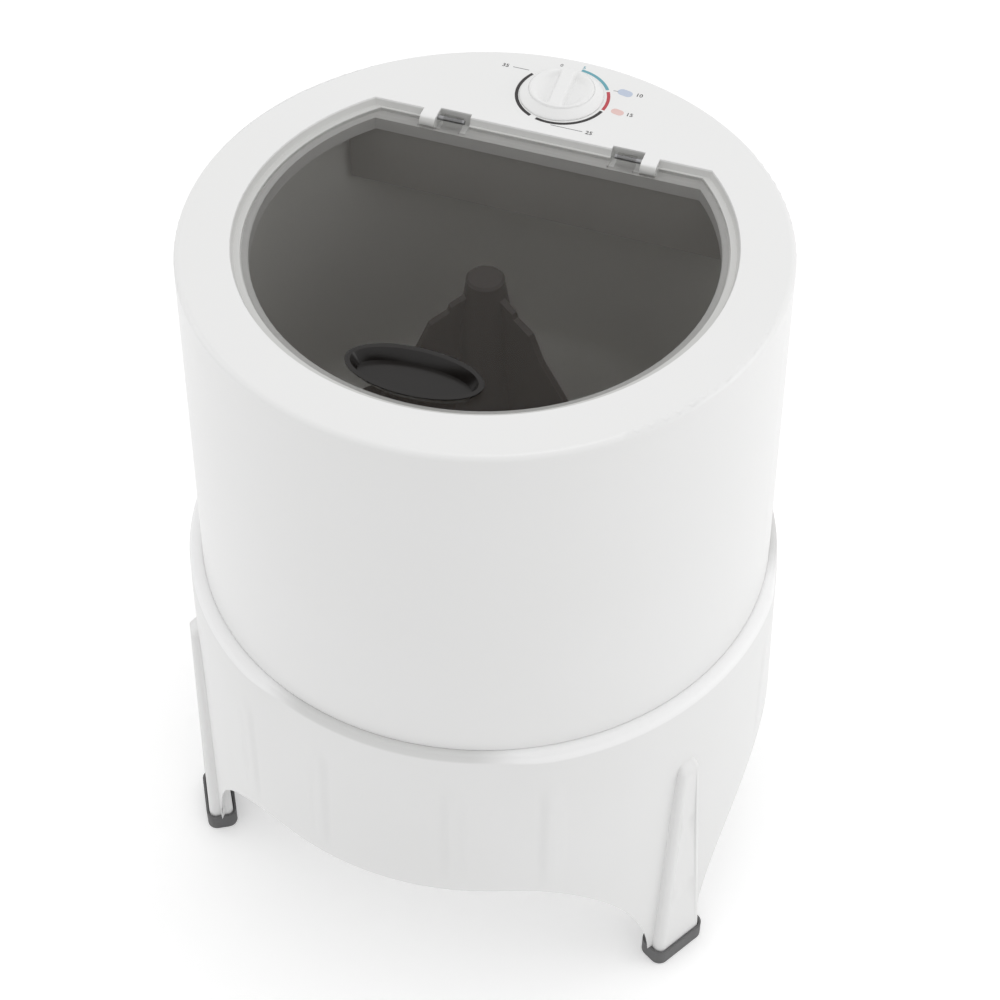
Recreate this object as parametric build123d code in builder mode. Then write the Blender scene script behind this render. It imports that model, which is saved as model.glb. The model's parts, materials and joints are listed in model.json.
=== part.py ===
from build123d import *
from math import asin, copysign, cos, radians, sin, tan
import os

os.makedirs("parts", exist_ok=True)

# Semi-automatic washing machine with a round tub on three legs. Millimetres, +Z up,
# floor at z = 0, tub axis on the Z axis, front towards -Y. Angles named theta are
# measured from the front towards +X, seen from above.

# Cabinet
height = 688.0
rim_radius = 238.0
rim_round = 5.0
seam_height = 361.0
seam_radius = 247.5
seam_gap = 0.2
shell_wall = 3.0

# Tub opening in the top panel, round with a straight rear edge: a sloping recess wall, a ledge
# and a lower seat that the lid lies on, level with the ledge
recess_radius = 195.3
recess_chord = 133.0
recess_depth = 6.2
recess_slope = 2.4
opening_radius = 181.8
opening_chord = 118.5
lid_radius = 187.0
lid_chord = 127.8
lip_drop = 8.0
splash_radius = 204.0
splash_drop = 18.0
chamber_drop = 73.0

# Base skirt, three arches and three legs
skirt_floor_radius = 268.0
skirt_mid_radius = 263.0
skirt_mid_height = 190.0
skirt_top_radius = 257.0
skirt_top_height = 331.0
shoulder_step = 1.8
shoulder_height = 352.0
ledge_edge_step = 1.8
ledge_edge_height = 359.6
ledge_top_step = 2.4
rib_inner_turn = 13.5
rib_outer_turn = 31.75
rib_height = 1.0
rib_half_width = 3.0
rib_depth = 4.0
rib_corner = 0.9
base_wall = 4.0
deck_thickness = 4.0
deck_top = 358.0
deck_ledge_radius = 226.0
deck_ledge_thickness = 4.0
deck_edge_gap = 0.3
deck_hole_radius = 60.0
deck_rib_thickness = 3.0
deck_rib_depth = 8.0
deck_rib_clearance = 6.0
deck_rib_angles = (0, 50, 100, -50, -100)
arch_height = 179.0
arch_flat_half = 100.0
arch_half = 215.0
arch_angles = (0, 120, -120)
leg_angles = (60, 180, -60)
leg_radius = 277.6
leg_half_width = 26.8
leg_depth = 24.0
leg_top_height = 288.0
leg_top_radius = 265.5
leg_top_half_width = 10.0
leg_top_depth = 10.0
leg_fade_height = 300.0
leg_fade_proud = 0.5
leg_fade_half_width = 7.0
leg_fade_depth = 6.0
leg_fade_corner = 2.5
leg_corner = 7.0
leg_top_corner = 4.5
leg_cavity_depth = 33.6
leg_top_cavity_depth = 20.5
arch_cut_start = 150.0
leg_wall = 4.0
cap_height = 18.0
cap_wall = 2.3
cap_sole = 2.5

# Inner tub
tub_top_radius = 212.0
tub_floor_radius = 202.0
tub_floor = 390.0
tub_corner = 25.0
tub_wall = 3.0
tub_flange_radius = 231.0
tub_flange_drop = 16.0
tub_hub_radius = 52.0
tub_hub_rise = 8.0
support_ring_radius = 176.0
support_ring_wall = 3.0
support_rib_depth = 12.0

# Lid and its hinges
lid_thickness = 3.0
lid_seat_gap = 0.3
lid_edge_gap = 1.0
lid_corner = 5.0
hinge_y = 129.5
hinge_drop = 4.0
pin_radius = 2.0
knuckle_radius = 3.7
knuckle_inner = 66.0
knuckle_outer = 81.5
nose_inner = 87.0
nose_outer = 100.0
nose_front = 119.5
nose_round = 6.5
pocket_inner = 60.0
pocket_front = 120.0
pocket_rear = 137.0
pocket_depth = 12.0
dish_y = -153.5
dish_length = 102.0
dish_width = 45.0
dish_depth = 10.0
dish_wall = 1.8
dish_slope = 5.0
dish_rim_width = 2.2
dish_rim_height = 0.8

# Timer and knob
knob_y = 186.0
knob_skirt_radius = 34.7
knob_disc_radius = 26.5
knob_disc_height = 8.0
knob_grip_height = 14.5
knob_grip_width = 11.0
knob_turn = 8.0
knob_wall = 2.0
knob_gap = 0.4
timer_shaft_radius = 3.0
timer_half_width = 27.0
timer_length = 46.0
timer_depth = 34.0
timer_plate = 1.5
timer_screw_offset = 20.0
timer_rear = 13.0

# Agitator and drive
fin_angles = (-50, 70, 190)
fin_thickness = 6.0
agitator_base_radius = 118.0
agitator_floor_gap = 6.0
agitator_drop = 48.0
fin_drop = 8.0
fin_tip_drop = 78.0
fin_tip_radius = 81.0
fin_belly_inset = 14.0
fin_belly_height = 104.0
post_top_radius = 15.5
agitator_wall = 3.0
hub_radius = 12.0
cap_thickness = 5.0
shaft_radius = 7.5
shaft_drop = 52.0
shaft_end_radius = 6.0
shaft_shoulder = 232.0
shaft_bottom = 202.0
housing_radius = 24.0
housing_bottom = 300.0
housing_flange_radius = 46.0
housing_flange_thickness = 6.0
housing_neck_radius = 19.5
bush_radius = 11.0
bush_length = 26.0
seal_radius = 14.0
seal_height = 9.0
housing_bolt_circle = 36.0
housing_neck_rise = 14.0

# Belt drive and motor
belt_height = 222.0
belt_width = 10.0
belt_depth = 6.0
belt_flank = 19.0
pulley_belt_radius = 107.5
motor_belt_radius = 21.0
pulley_lip = 0.5
groove_spare = 2.0
rim_half_width = 9.5
pulley_web = 4.0
pulley_hub_radius = 20.0
pulley_hub_height = 20.0
motor_y = 140.0
motor_plate_thickness = 3.0
motor_plate_width = 164.0
motor_plate_length = 140.0
motor_plate_bolt_x = 68.0
motor_plate_bolt_y = 56.0
grommet_height = 3.0
grommet_radius = 9.0
motor_radius = 60.0
motor_bolt_offset = 37.5
motor_shaft_radius = 5.0
motor_shield_wall = 3.0
upper_shield_height = 30.0
stator_height = 56.0
lower_shield_height = 22.0
stator_bore = 30.5
rotor_radius = 30.0
winding_radius = 46.0
winding_height = 10.0
fan_radius = 46.0

# Under cover
cover_height = 183.0
cover_thickness = 3.0
cover_radius = 246.0
cover_ledge_radius = 232.0
cover_screw_circle = 239.0
cover_rib_radius = 226.0
cover_rib_depth = 4.0
cover_vent_circle = 150.0

# Drain and cord inlet
drain_angle = -120
drain_radius = 150.0
drain_bore = 10.5
drain_tube_radius = 13.0
hose_wall = 3.0
drain_outlet_height = 230.0
hose_bend = 60.0
pad_step = 1.5
outlet_pad_seat = 1.0
outlet_inner_reach = 30.0
outlet_reach = 24.0
hose_grip = 18.0
hose_rise = 10.0
hose_hole_radius = 20.0
drain_spigot_drop = 10.0
strainer_radius = 24.0
strainer_thickness = 2.5
gland_angle = 160
gland_height = 250.0
gland_pad_seat = 3.0
gland_hole = 9.0
gland_flange = 3.5
gland_nose = 14.5
gland_entry = 6.0
cord_radius = 4.25

# Electrical pieces below the deck
capacitor_x = 140.0
capacitor_y = -60.0
capacitor_radius = 18.0
capacitor_length = 70.0
capacitor_top = 340.0
terminal_x = 130.0
terminal_y = 60.0
ear_thickness = 2.0

# Screws and fits
screw_radius = 2.0
screw_head_radius = 4.2
screw_head_height = 3.0
screw_hole = 2.3
tub_screw_circle = 224.0
base_screw_circle = 234.0
base_boss_radius = 6.0
base_boss_height = 40.0
bolt_radius = 2.5
bolt_head_radius = 4.6
bolt_head_height = 4.0
boss_radius = 5.0
touch_gap = 0.02
running_gap = 0.05
soft_gap = 0.1
belt_gap = 0.3
moving_gap = 0.5

# Levels that follow from the sizes above
panel_under = height - shell_wall
ledge_top = height - recess_depth
seat_radius = lid_radius + lid_edge_gap
seat_chord = lid_chord + lid_edge_gap
seat_top = ledge_top - lid_thickness - lid_seat_gap
shell_bottom = seam_height + seam_gap
flange_top = height - tub_flange_drop
flange_bottom = flange_top - tub_wall
tub_under = tub_floor - tub_wall
deck_under = deck_top - deck_thickness
deck_radius = seam_radius - shell_wall - 1
ledge_under = deck_under - deck_ledge_thickness
lip_bottom = seat_top - shell_wall - lip_drop
lid_bottom = seat_top + lid_seat_gap
lid_top = lid_bottom + lid_thickness
hinge_z = height - hinge_drop
chamber_bottom = height - shell_wall - chamber_drop
pocket_floor = height - pocket_depth
agitator_bottom = tub_floor + agitator_floor_gap
agitator_top = height - agitator_drop
shaft_top = agitator_top - shaft_drop
shoulder_radius = skirt_top_radius - shoulder_step
ledge_edge_radius = shoulder_radius - ledge_edge_step
ledge_top_radius = ledge_edge_radius - ledge_top_step
leg_fade_radius = skirt_top_radius + leg_fade_proud
pad_radius = max(skirt_mid_radius, skirt_top_radius) + pad_step
outlet_pad_inner = min(skirt_mid_radius, skirt_top_radius) - base_wall - outlet_pad_seat
gland_pad_inner = min(skirt_mid_radius, skirt_top_radius) - base_wall - gland_pad_seat


def polar(theta, radius):
    """Point at an angle from the front."""
    return (radius * sin(radians(theta)), -radius * cos(radians(theta)))


def facing(theta, radius, level=0.0):
    """Plane that faces outwards at an angle from the front, with its own y up."""
    side = (cos(radians(theta)), sin(radians(theta)), 0)
    outwards = (sin(radians(theta)), -cos(radians(theta)), 0)
    x, y = polar(theta, radius)
    return Plane(origin=(x, y, level), x_dir=side, z_dir=outwards)


def radial(theta):
    """Plane through the axis, with x outwards and y up."""
    outwards = (sin(radians(theta)), -cos(radians(theta)), 0)
    normal = (-cos(radians(theta)), -sin(radians(theta)), 0)
    return Plane(origin=(0, 0, 0), x_dir=outwards, z_dir=normal)


def ring_points(radius, angles):
    """Points on one circle at angles from the front."""
    return [polar(theta, radius) for theta in angles]


def disc_before(radius, chord):
    """Disc cut off straight at the rear."""
    with BuildSketch(mode=Mode.PRIVATE) as shape:
        Circle(radius)
        with Locations((0, chord + radius)):
            Rectangle(2 * radius, 2 * radius, mode=Mode.SUBTRACT)
    return shape.sketch


def disc_behind(radius, chord):
    """The piece of the disc behind the straight edge."""
    with BuildSketch(mode=Mode.PRIVATE) as shape:
        Circle(radius)
        with Locations((0, chord - radius)):
            Rectangle(2 * radius, 2 * radius, mode=Mode.SUBTRACT)
    return shape.sketch


def turned(points, centre=(0, 0), mode=Mode.ADD):
    """Body turned about a vertical axis from points of radius and height."""
    x, y = centre
    with BuildSketch(Plane(origin=(x, y, 0), x_dir=(1, 0, 0), z_dir=(0, -1, 0))) as half:
        with BuildLine():
            Polyline(*points, close=True)
        make_face()
    revolve(half.sketch, axis=Axis((x, y, 0), (0, 0, 1)), mode=mode)


def tubes(points, level, outer, inner, rise, mode=Mode.ADD):
    """Rings, washers or hollow bosses on vertical axes."""
    with BuildSketch(Plane.XY.offset(level)) as shape:
        with Locations(*points):
            Circle(outer)
            Circle(inner, mode=Mode.SUBTRACT)
    extrude(shape.sketch, amount=rise, mode=mode)


def rods(points, level, radius, rise, mode=Mode.ADD):
    """Round rods, bosses or holes on vertical axes."""
    with BuildSketch(Plane.XY.offset(level)) as shape:
        with Locations(*points):
            Circle(radius)
    extrude(shape.sketch, amount=rise, mode=mode)


def block(centre, level, width, length, rise, mode=Mode.ADD):
    """Block with a flat base on a level."""
    with BuildSketch(Plane.XY.offset(level)) as shape:
        with Locations(centre):
            Rectangle(width, length)
    extrude(shape.sketch, amount=rise, mode=mode)


def pipe(plane, outer, inner, length, mode=Mode.ADD):
    """Round pipe that starts on a plane, or a rod when the inner radius is nought."""
    with BuildSketch(plane) as shape:
        Circle(outer)
        if inner:
            Circle(inner, mode=Mode.SUBTRACT)
    extrude(shape.sketch, amount=length, mode=mode)


def screws(points, seat, reach, shank=screw_radius, head=screw_head_radius, thick=screw_head_height):
    """Screws with their heads on a seat and shanks reaching up or down from it."""
    rods(points, seat, head, -copysign(thick, reach))
    rods(points, seat, shank, reach)


def skirt_outline(inset, bottom, top_points):
    """Half outline of the skirt, drawn in by an even amount, from the bottom up."""
    levels = [(skirt_floor_radius, bottom), (skirt_mid_radius, skirt_mid_height),
              (skirt_top_radius, skirt_top_height)] + top_points
    return [(radius - inset, level) for radius, level in levels]


def upright_section(theta, level, face, half_width, depth, corner):
    """One level section of a leg or an upright rib."""
    x, y = polar(theta, face - depth / 2)
    outwards = (sin(radians(theta)), -cos(radians(theta)), 0)
    with BuildSketch(Plane(origin=(x, y, level), x_dir=outwards, z_dir=(0, 0, 1))) as section:
        RectangleRounded(depth, 2 * half_width, corner)
    return section.sketch.face()


def grooved_rim(belt_radius, inner, centre):
    """Pulley rim with its V groove."""
    slope = tan(radians(belt_flank))
    edge = belt_radius + pulley_lip
    root = belt_radius - belt_depth - groove_spare
    play = belt_gap / cos(radians(belt_flank))
    wide = belt_width / 2 + pulley_lip * slope + play
    narrow = belt_width / 2 - (belt_depth + groove_spare) * slope + play
    low, high = belt_height - rim_half_width, belt_height + rim_half_width
    turned([(inner, low), (edge, low), (edge, belt_height - wide), (root, belt_height - narrow),
            (root, belt_height + narrow), (edge, belt_height + wide), (edge, high), (inner, high)], centre)


# Outer shell: side wall, top panel, sunk ledge round the opening and timer chamber
tub_screw_points = ring_points(tub_screw_circle, [22.5 + 45 * step for step in range(8)])
base_screw_angles = [30 + 60 * step for step in range(6)]
base_screw_points = ring_points(base_screw_circle, base_screw_angles)
timer_screw_points = [(-timer_screw_offset, knob_y), (timer_screw_offset, knob_y)]
chamber_screw_points = [(-125, 134), (-50, 186), (50, 186), (125, 134)]
hinge_block_middle = (pocket_inner + nose_outer) / 2
hinge_block_rear = pocket_rear + shell_wall

with BuildPart() as outer_shell:
    turned([(0, height), (rim_radius, height), (seam_radius, shell_bottom),
            (seam_radius - shell_wall, shell_bottom), (rim_radius - shell_wall, panel_under),
            (0, panel_under)])
    fillet(outer_shell.edges().filter_by(GeomType.CIRCLE).group_by(Axis.Z)[-1], rim_round)
    tubes([(0, 0)], panel_under - splash_drop, splash_radius + shell_wall, splash_radius, splash_drop)
    rods(chamber_screw_points, chamber_bottom, boss_radius, chamber_drop)
    for radius, chord, level, rise in ((recess_radius, recess_chord, ledge_top, recess_depth),
                                       (seat_radius, seat_chord, seat_top, ledge_top - seat_top),
                                       (opening_radius, opening_chord, lip_bottom + shell_wall, lip_drop)):
        with BuildSketch(Plane.XY.offset(level - shell_wall)):
            add(disc_before(radius + shell_wall, chord + shell_wall))
        extrude(amount=rise)
    for side in (-1, 1):
        block((side * hinge_block_middle, (opening_chord + hinge_block_rear) / 2),
              pocket_floor - shell_wall, nose_outer - pocket_inner + 2 * shell_wall,
              hinge_block_rear - opening_chord, panel_under + shell_wall - pocket_floor)
    for level, inset in ((height, 0), (ledge_top, recess_slope)):
        with BuildSketch(Plane.XY.offset(level)):
            add(disc_before(recess_radius - inset, recess_chord - inset))
    loft(mode=Mode.SUBTRACT)
    for radius, chord, level, rise in ((seat_radius, seat_chord, seat_top, ledge_top - seat_top),
                                       (opening_radius, opening_chord, lip_bottom, seat_top - lip_bottom)):
        with BuildSketch(Plane.XY.offset(level)):
            add(disc_before(radius, chord))
        extrude(amount=rise, mode=Mode.SUBTRACT)
    for side in (-1, 1):
        block((side * (pocket_inner + nose_inner) / 2, (pocket_front + pocket_rear) / 2), pocket_floor,
              nose_inner - pocket_inner, pocket_rear - pocket_front, height - pocket_floor, Mode.SUBTRACT)
        with BuildSketch(Plane.YZ.offset(side * nose_inner)):
            with Locations((nose_front + nose_round, height - nose_round)):
                Circle(nose_round)
            with Locations(((nose_front + nose_round + recess_chord) / 2, (height + ledge_top) / 2)):
                Rectangle(recess_chord - nose_front - nose_round, recess_depth)
        extrude(amount=side * (nose_outer - nose_inner))
        with BuildSketch(Plane.YZ.offset(side * nose_inner)):
            with Locations((hinge_y, hinge_z)):
                Circle(pin_radius + touch_gap)
        extrude(amount=side * (nose_outer - nose_inner - 1), mode=Mode.SUBTRACT)
    tubes(tub_screw_points, flange_top, boss_radius, screw_radius + touch_gap, panel_under - flange_top)
    rods([(0, knob_y)], panel_under, timer_shaft_radius + 2, shell_wall, Mode.SUBTRACT)
    rods(timer_screw_points, panel_under, screw_hole, shell_wall, Mode.SUBTRACT)
    rods(chamber_screw_points, chamber_bottom, screw_radius + touch_gap, 20, Mode.SUBTRACT)
    rods(base_screw_points, deck_top, base_boss_radius, base_boss_height)
    for theta in base_screw_angles:
        with BuildSketch(facing(theta, base_screw_circle, deck_top + base_boss_height - 12)):
            Rectangle(shell_wall, 24)
        extrude(amount=seam_radius - base_screw_circle - shell_wall / 2)
    rods(base_screw_points, deck_top, screw_radius + touch_gap, base_boss_height - 8, Mode.SUBTRACT)
outer_shell.part.label = "outer_shell"
export_step(outer_shell.part, "parts/outer_shell.step")

# Inner tub: tapered wash tub with a flange, a raised hub and a drain spigot
drain_point = polar(drain_angle, drain_radius)
housing_bolt_points = ring_points(housing_bolt_circle, (45, 135, 225, 315))
spigot_bottom = deck_under - drain_spigot_drop

with BuildPart() as tub_space:
    turned([(0, tub_floor), (tub_floor_radius, tub_floor), (tub_top_radius, flange_top),
            (tub_top_radius, height), (0, height)])
    fillet(tub_space.edges().filter_by(GeomType.CIRCLE).group_by(Axis.Z)[0], tub_corner)
    with BuildSketch(Plane.XY.offset(tub_floor)):
        Circle(tub_hub_radius)
    extrude(amount=tub_hub_rise, taper=30, mode=Mode.SUBTRACT)

with BuildPart() as inner_tub:
    turned([(0, tub_under), (tub_floor_radius + tub_wall, tub_under),
            (tub_top_radius + tub_wall, flange_top), (0, flange_top)])
    fillet(inner_tub.edges().filter_by(GeomType.CIRCLE).group_by(Axis.Z)[0], tub_corner + tub_wall)
    tubes([(0, 0)], flange_bottom, tub_flange_radius, tub_top_radius - 1, tub_wall)
    rods([drain_point], spigot_bottom, drain_tube_radius, tub_floor - spigot_bottom)
    add(tub_space.part, mode=Mode.SUBTRACT)
    rods([drain_point], spigot_bottom, drain_bore, tub_floor - spigot_bottom, Mode.SUBTRACT)
    rods([(0, 0)], tub_under, housing_neck_radius + moving_gap, tub_wall + tub_hub_rise, Mode.SUBTRACT)
    rods(tub_screw_points, flange_bottom, screw_hole, tub_wall, Mode.SUBTRACT)
    rods(housing_bolt_points, tub_under, bolt_radius + touch_gap, tub_hub_rise, Mode.SUBTRACT)
inner_tub.part.label = "inner_tub"
export_step(inner_tub.part, "parts/inner_tub.step")

with BuildPart() as tub_screws:
    screws(tub_screw_points, flange_bottom, tub_wall + 11)
tub_screws.part.label = "tub_screws"
export_step(tub_screws.part, "parts/tub_screws.step")

# Support ring on the deck, with ribs and a centring collar under the floor of the tub
collar_radius = housing_flange_radius + moving_gap

with BuildPart() as tub_support_ring:
    tubes([(0, 0)], deck_top, support_ring_radius, support_ring_radius - support_ring_wall,
          tub_under - deck_top)
    tubes([(0, 0)], tub_under - support_rib_depth, collar_radius + support_ring_wall, collar_radius,
          support_rib_depth)
    for theta in range(0, 360, 45):
        with BuildSketch(facing(theta, collar_radius + 1, tub_under - support_rib_depth / 2)):
            Rectangle(support_ring_wall, support_rib_depth)
        extrude(amount=support_ring_radius - collar_radius - 2)
tub_support_ring.part.label = "tub_support_ring"
export_step(tub_support_ring.part, "parts/tub_support_ring.step")

# Drain strainer: a holed disc with a rim that drops into the spigot
with BuildPart() as drain_strainer:
    rods([drain_point], tub_floor, strainer_radius, strainer_thickness)
    tubes([drain_point], tub_floor - 6, drain_bore - soft_gap, drain_bore - 1.6, 6)
    with BuildSketch(Plane.XY.offset(tub_floor)):
        with Locations(drain_point):
            Circle(2)
            with PolarLocations(6, 6):
                Circle(2)
    extrude(amount=strainer_thickness, mode=Mode.SUBTRACT)
drain_strainer.part.label = "drain_strainer"
export_step(drain_strainer.part, "parts/drain_strainer.step")

# Lid: smoked plate with an oval hole for the finger dish and two hinge knuckles
with BuildPart() as lid:
    with BuildSketch(Plane.XY.offset(lid_bottom)) as plate:
        add(disc_before(lid_radius, lid_chord))
        fillet(plate.vertices().group_by(Axis.Y)[-1], lid_corner)
        for side in (-1, 1):
            with Locations((side * (hinge_block_middle + 0.5), nose_front + 9)):
                Rectangle(nose_outer + 1 - pocket_inner, 20, mode=Mode.SUBTRACT)
        with Locations((0, dish_y)):
            Ellipse(dish_length / 2 + soft_gap, dish_width / 2 + soft_gap, mode=Mode.SUBTRACT)
    extrude(amount=lid_thickness)
    for side in (-1, 1):
        with BuildSketch(Plane.YZ.offset(side * knuckle_inner)):
            with Locations((hinge_y, hinge_z)):
                Circle(knuckle_radius)
            with Locations(((nose_front - 3 + hinge_y) / 2, (lid_bottom + lid_top) / 2)):
                Rectangle(hinge_y - nose_front + 3, lid_thickness)
            with Locations((hinge_y, hinge_z)):
                Circle(pin_radius + running_gap, mode=Mode.SUBTRACT)
        extrude(amount=side * (knuckle_outer - knuckle_inner))
lid.part.label = "lid"
export_step(lid.part, "parts/lid.step")

# Finger dish: a dark oval cup with sloping walls and a thin rim that lies on the lid
with BuildPart() as finger_dish:
    with BuildSketch(Plane.XY.offset(lid_top)):
        with Locations((0, dish_y)):
            Ellipse(dish_length / 2 + dish_rim_width, dish_width / 2 + dish_rim_width)
    extrude(amount=dish_rim_height)
    for inset, top, drop, mode in ((0, lid_top, dish_depth, Mode.ADD),
                                   (dish_wall, lid_top + dish_rim_height, dish_depth + dish_rim_height
                                    - dish_wall, Mode.SUBTRACT)):
        with BuildSketch(Plane.XY.offset(top)):
            with Locations((0, dish_y)):
                Ellipse(dish_length / 2 - inset, dish_width / 2 - inset)
        with BuildSketch(Plane.XY.offset(top - drop)):
            with Locations((0, dish_y)):
                Ellipse(dish_length / 2 - inset - dish_slope, dish_width / 2 - inset - dish_slope)
        loft(mode=mode)
finger_dish.part.label = "finger_dish"
export_step(finger_dish.part, "parts/finger_dish.step")

with BuildPart() as lid_hinge_pins:
    for side in (-1, 1):
        with BuildSketch(Plane.YZ.offset(side * (knuckle_inner - 2))):
            with Locations((hinge_y, hinge_z)):
                Circle(pin_radius)
        extrude(amount=side * (nose_outer + 0.5 - knuckle_inner))
lid_hinge_pins.part.label = "lid_hinge_pins"
export_step(lid_hinge_pins.part, "parts/lid_hinge_pins.step")

# Timer under the rear panel, with its shaft, knob, screws and the cover of its chamber
knob_bottom = height + knob_gap
disc_level = height + knob_disc_height
knob_bore_top = height + knob_grip_height - 3
knob_centre = (0, knob_y)
knob_bore = timer_shaft_radius + touch_gap

with BuildPart() as timer_knob:
    turned([(knob_bore, knob_bottom), (knob_bore + 4, knob_bottom), (knob_bore + 4, disc_level - knob_wall),
            (knob_disc_radius - knob_wall, disc_level - knob_wall),
            (knob_disc_radius - knob_wall, disc_level - 2 * knob_wall),
            (knob_skirt_radius - knob_wall, knob_bottom), (knob_skirt_radius, knob_bottom),
            (knob_skirt_radius, knob_bottom + 1.2), (knob_disc_radius + 1, disc_level - 1.5),
            (knob_disc_radius, disc_level), (knob_bore, disc_level)], knob_centre)
    with BuildSketch(Plane.XY.offset(disc_level - 1)):
        with Locations(knob_centre):
            Circle(knob_disc_radius - 0.8)
            Rectangle(knob_grip_width, 3 * knob_disc_radius, rotation=knob_turn, mode=Mode.INTERSECT)
    extrude(amount=knob_grip_height - knob_disc_height + 1, taper=8)
    fillet(timer_knob.edges().group_by(Axis.Z)[-1], 1.2)
    rods([knob_centre], knob_bottom, knob_bore, knob_bore_top - knob_bottom, Mode.SUBTRACT)
timer_knob.part.label = "timer_knob"
export_step(timer_knob.part, "parts/timer_knob.step")

timer_top = panel_under - timer_plate
timer_bottom = timer_top - timer_depth
timer_middle = (0, knob_y + timer_rear - timer_length / 2)

with BuildPart() as timer_shaft:
    rods([knob_centre], timer_bottom + 8, timer_shaft_radius, knob_bore_top - 0.5 - timer_bottom - 8)
timer_shaft.part.label = "timer_shaft"
export_step(timer_shaft.part, "parts/timer_shaft.step")

with BuildPart() as timer_body:
    block(timer_middle, timer_bottom, 2 * timer_half_width, timer_length, timer_depth)
    fillet(timer_body.edges().filter_by(Axis.Z), 4)
    block(timer_middle, timer_top, 2 * timer_half_width + 4, timer_length, timer_plate)
    for step in (-15, -5, 5, 15):
        block((step, timer_middle[1] - 8), timer_bottom - 8, 6.3, 0.8, 9)
    rods([knob_centre], timer_bottom + 7, timer_shaft_radius + running_gap, timer_depth, Mode.SUBTRACT)
    rods(timer_screw_points, timer_top - 8, screw_radius + touch_gap, 8 + timer_plate, Mode.SUBTRACT)
timer_body.part.label = "timer_body"
export_step(timer_body.part, "parts/timer_body.step")

with BuildPart() as timer_screws:
    screws(timer_screw_points, height, -shell_wall - 7, thick=2.2)
timer_screws.part.label = "timer_screws"
export_step(timer_screws.part, "parts/timer_screws.step")

box_front = opening_chord + shell_wall + soft_gap
box_radius = splash_radius - soft_gap

with BuildPart() as timer_chamber_cover:
    with BuildSketch(Plane.XY.offset(chamber_bottom - shell_wall)):
        add(disc_behind(box_radius, box_front))
    extrude(amount=pocket_floor - soft_gap - chamber_bottom)
    with BuildSketch(Plane.XY.offset(chamber_bottom)):
        add(disc_behind(box_radius - shell_wall, box_front + shell_wall))
    extrude(amount=chamber_drop, mode=Mode.SUBTRACT)
    rods(chamber_screw_points, chamber_bottom - shell_wall, screw_hole, shell_wall, Mode.SUBTRACT)
timer_chamber_cover.part.label = "timer_chamber_cover"
export_step(timer_chamber_cover.part, "parts/timer_chamber_cover.step")

with BuildPart() as timer_cover_screws:
    screws(chamber_screw_points, chamber_bottom - shell_wall, shell_wall + 12)
timer_cover_screws.part.label = "timer_cover_screws"
export_step(timer_cover_screws.part, "parts/timer_cover_screws.step")

# Agitator: hollow post that flares into a dished base, with three stepped fins
bolt_seat = shaft_top + moving_gap + 5.5
post_line = [(post_top_radius, agitator_top), (22, agitator_top - 38), (30, agitator_bottom + 74)]
hub_foot = agitator_bottom + 74
fin_top = agitator_top - fin_drop
fin_tip = (fin_tip_radius, agitator_top - fin_tip_drop)

with BuildPart() as agitator:
    with BuildSketch(Plane.XZ):
        with BuildLine():
            Polyline((0, agitator_bottom), (0, agitator_top), *post_line)
            SagittaArc(post_line[-1], (agitator_base_radius - 3, agitator_bottom + 16), 18)
            Polyline((agitator_base_radius - 3, agitator_bottom + 16),
                     (agitator_base_radius, agitator_bottom + 13),
                     (agitator_base_radius, agitator_bottom), (0, agitator_bottom))
        make_face()
    revolve(axis=Axis.Z)
    for theta in fin_angles:
        with BuildSketch(radial(theta)):
            with BuildLine():
                Polyline((0, agitator_bottom + 10), (0, fin_top), (14, fin_top), (29.5, fin_top - 8),
                         (31, fin_top - 13), (46.6, fin_top - 21), (58, fin_top - 44), fin_tip)
                ThreePointArc(fin_tip,
                              (agitator_base_radius - fin_belly_inset, agitator_bottom + fin_belly_height),
                              (agitator_base_radius - 4, agitator_bottom + 14))
                Line((agitator_base_radius - 4, agitator_bottom + 14), (0, agitator_bottom + 10))
            make_face()
        extrude(amount=fin_thickness / 2, both=True)
    with BuildSketch(Plane.XZ):
        with BuildLine():
            Polyline((0, agitator_bottom), (0, agitator_top - 80), (20.5, agitator_top - 80),
                     (27, agitator_bottom + 72))
            SagittaArc((27, agitator_bottom + 72), (agitator_base_radius - 4.5, agitator_bottom + 12.5), 18)
            Polyline((agitator_base_radius - 4.5, agitator_bottom + 12.5),
                     (agitator_base_radius - agitator_wall, agitator_bottom + 11),
                     (agitator_base_radius - agitator_wall, agitator_bottom), (0, agitator_bottom))
        make_face()
    revolve(axis=Axis.Z, mode=Mode.SUBTRACT)
    rods([(0, 0)], hub_foot, hub_radius, fin_tip[1] - hub_foot)
    rods([(0, 0)], hub_foot, shaft_radius + touch_gap, shaft_top + moving_gap - hub_foot, Mode.SUBTRACT)
    rods([(0, 0)], shaft_top, 4.3, bolt_seat - shaft_top, Mode.SUBTRACT)
    rods([(0, 0)], bolt_seat, hub_radius - 1, agitator_top - bolt_seat, Mode.SUBTRACT)
agitator.part.label = "agitator"
export_step(agitator.part, "parts/agitator.step")

with BuildPart() as agitator_cap:
    turned([(0, agitator_top), (post_top_radius, agitator_top),
            (post_top_radius, agitator_top + cap_thickness - 2),
            (post_top_radius - 2, agitator_top + cap_thickness), (0, agitator_top + cap_thickness)])
    tubes([(0, 0)], agitator_top - 8, hub_radius - 1 - soft_gap, hub_radius - 3, 8)
agitator_cap.part.label = "agitator_cap"
export_step(agitator_cap.part, "parts/agitator_cap.step")

with BuildPart() as agitator_bolt:
    with BuildSketch(Plane.XY.offset(bolt_seat)):
        RegularPolygon(6.5, 6, major_radius=False)
    extrude(amount=5.5)
    rods([(0, 0)], bolt_seat, 4, -26)
agitator_bolt.part.label = "agitator_bolt"
export_step(agitator_bolt.part, "parts/agitator_bolt.step")

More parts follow.
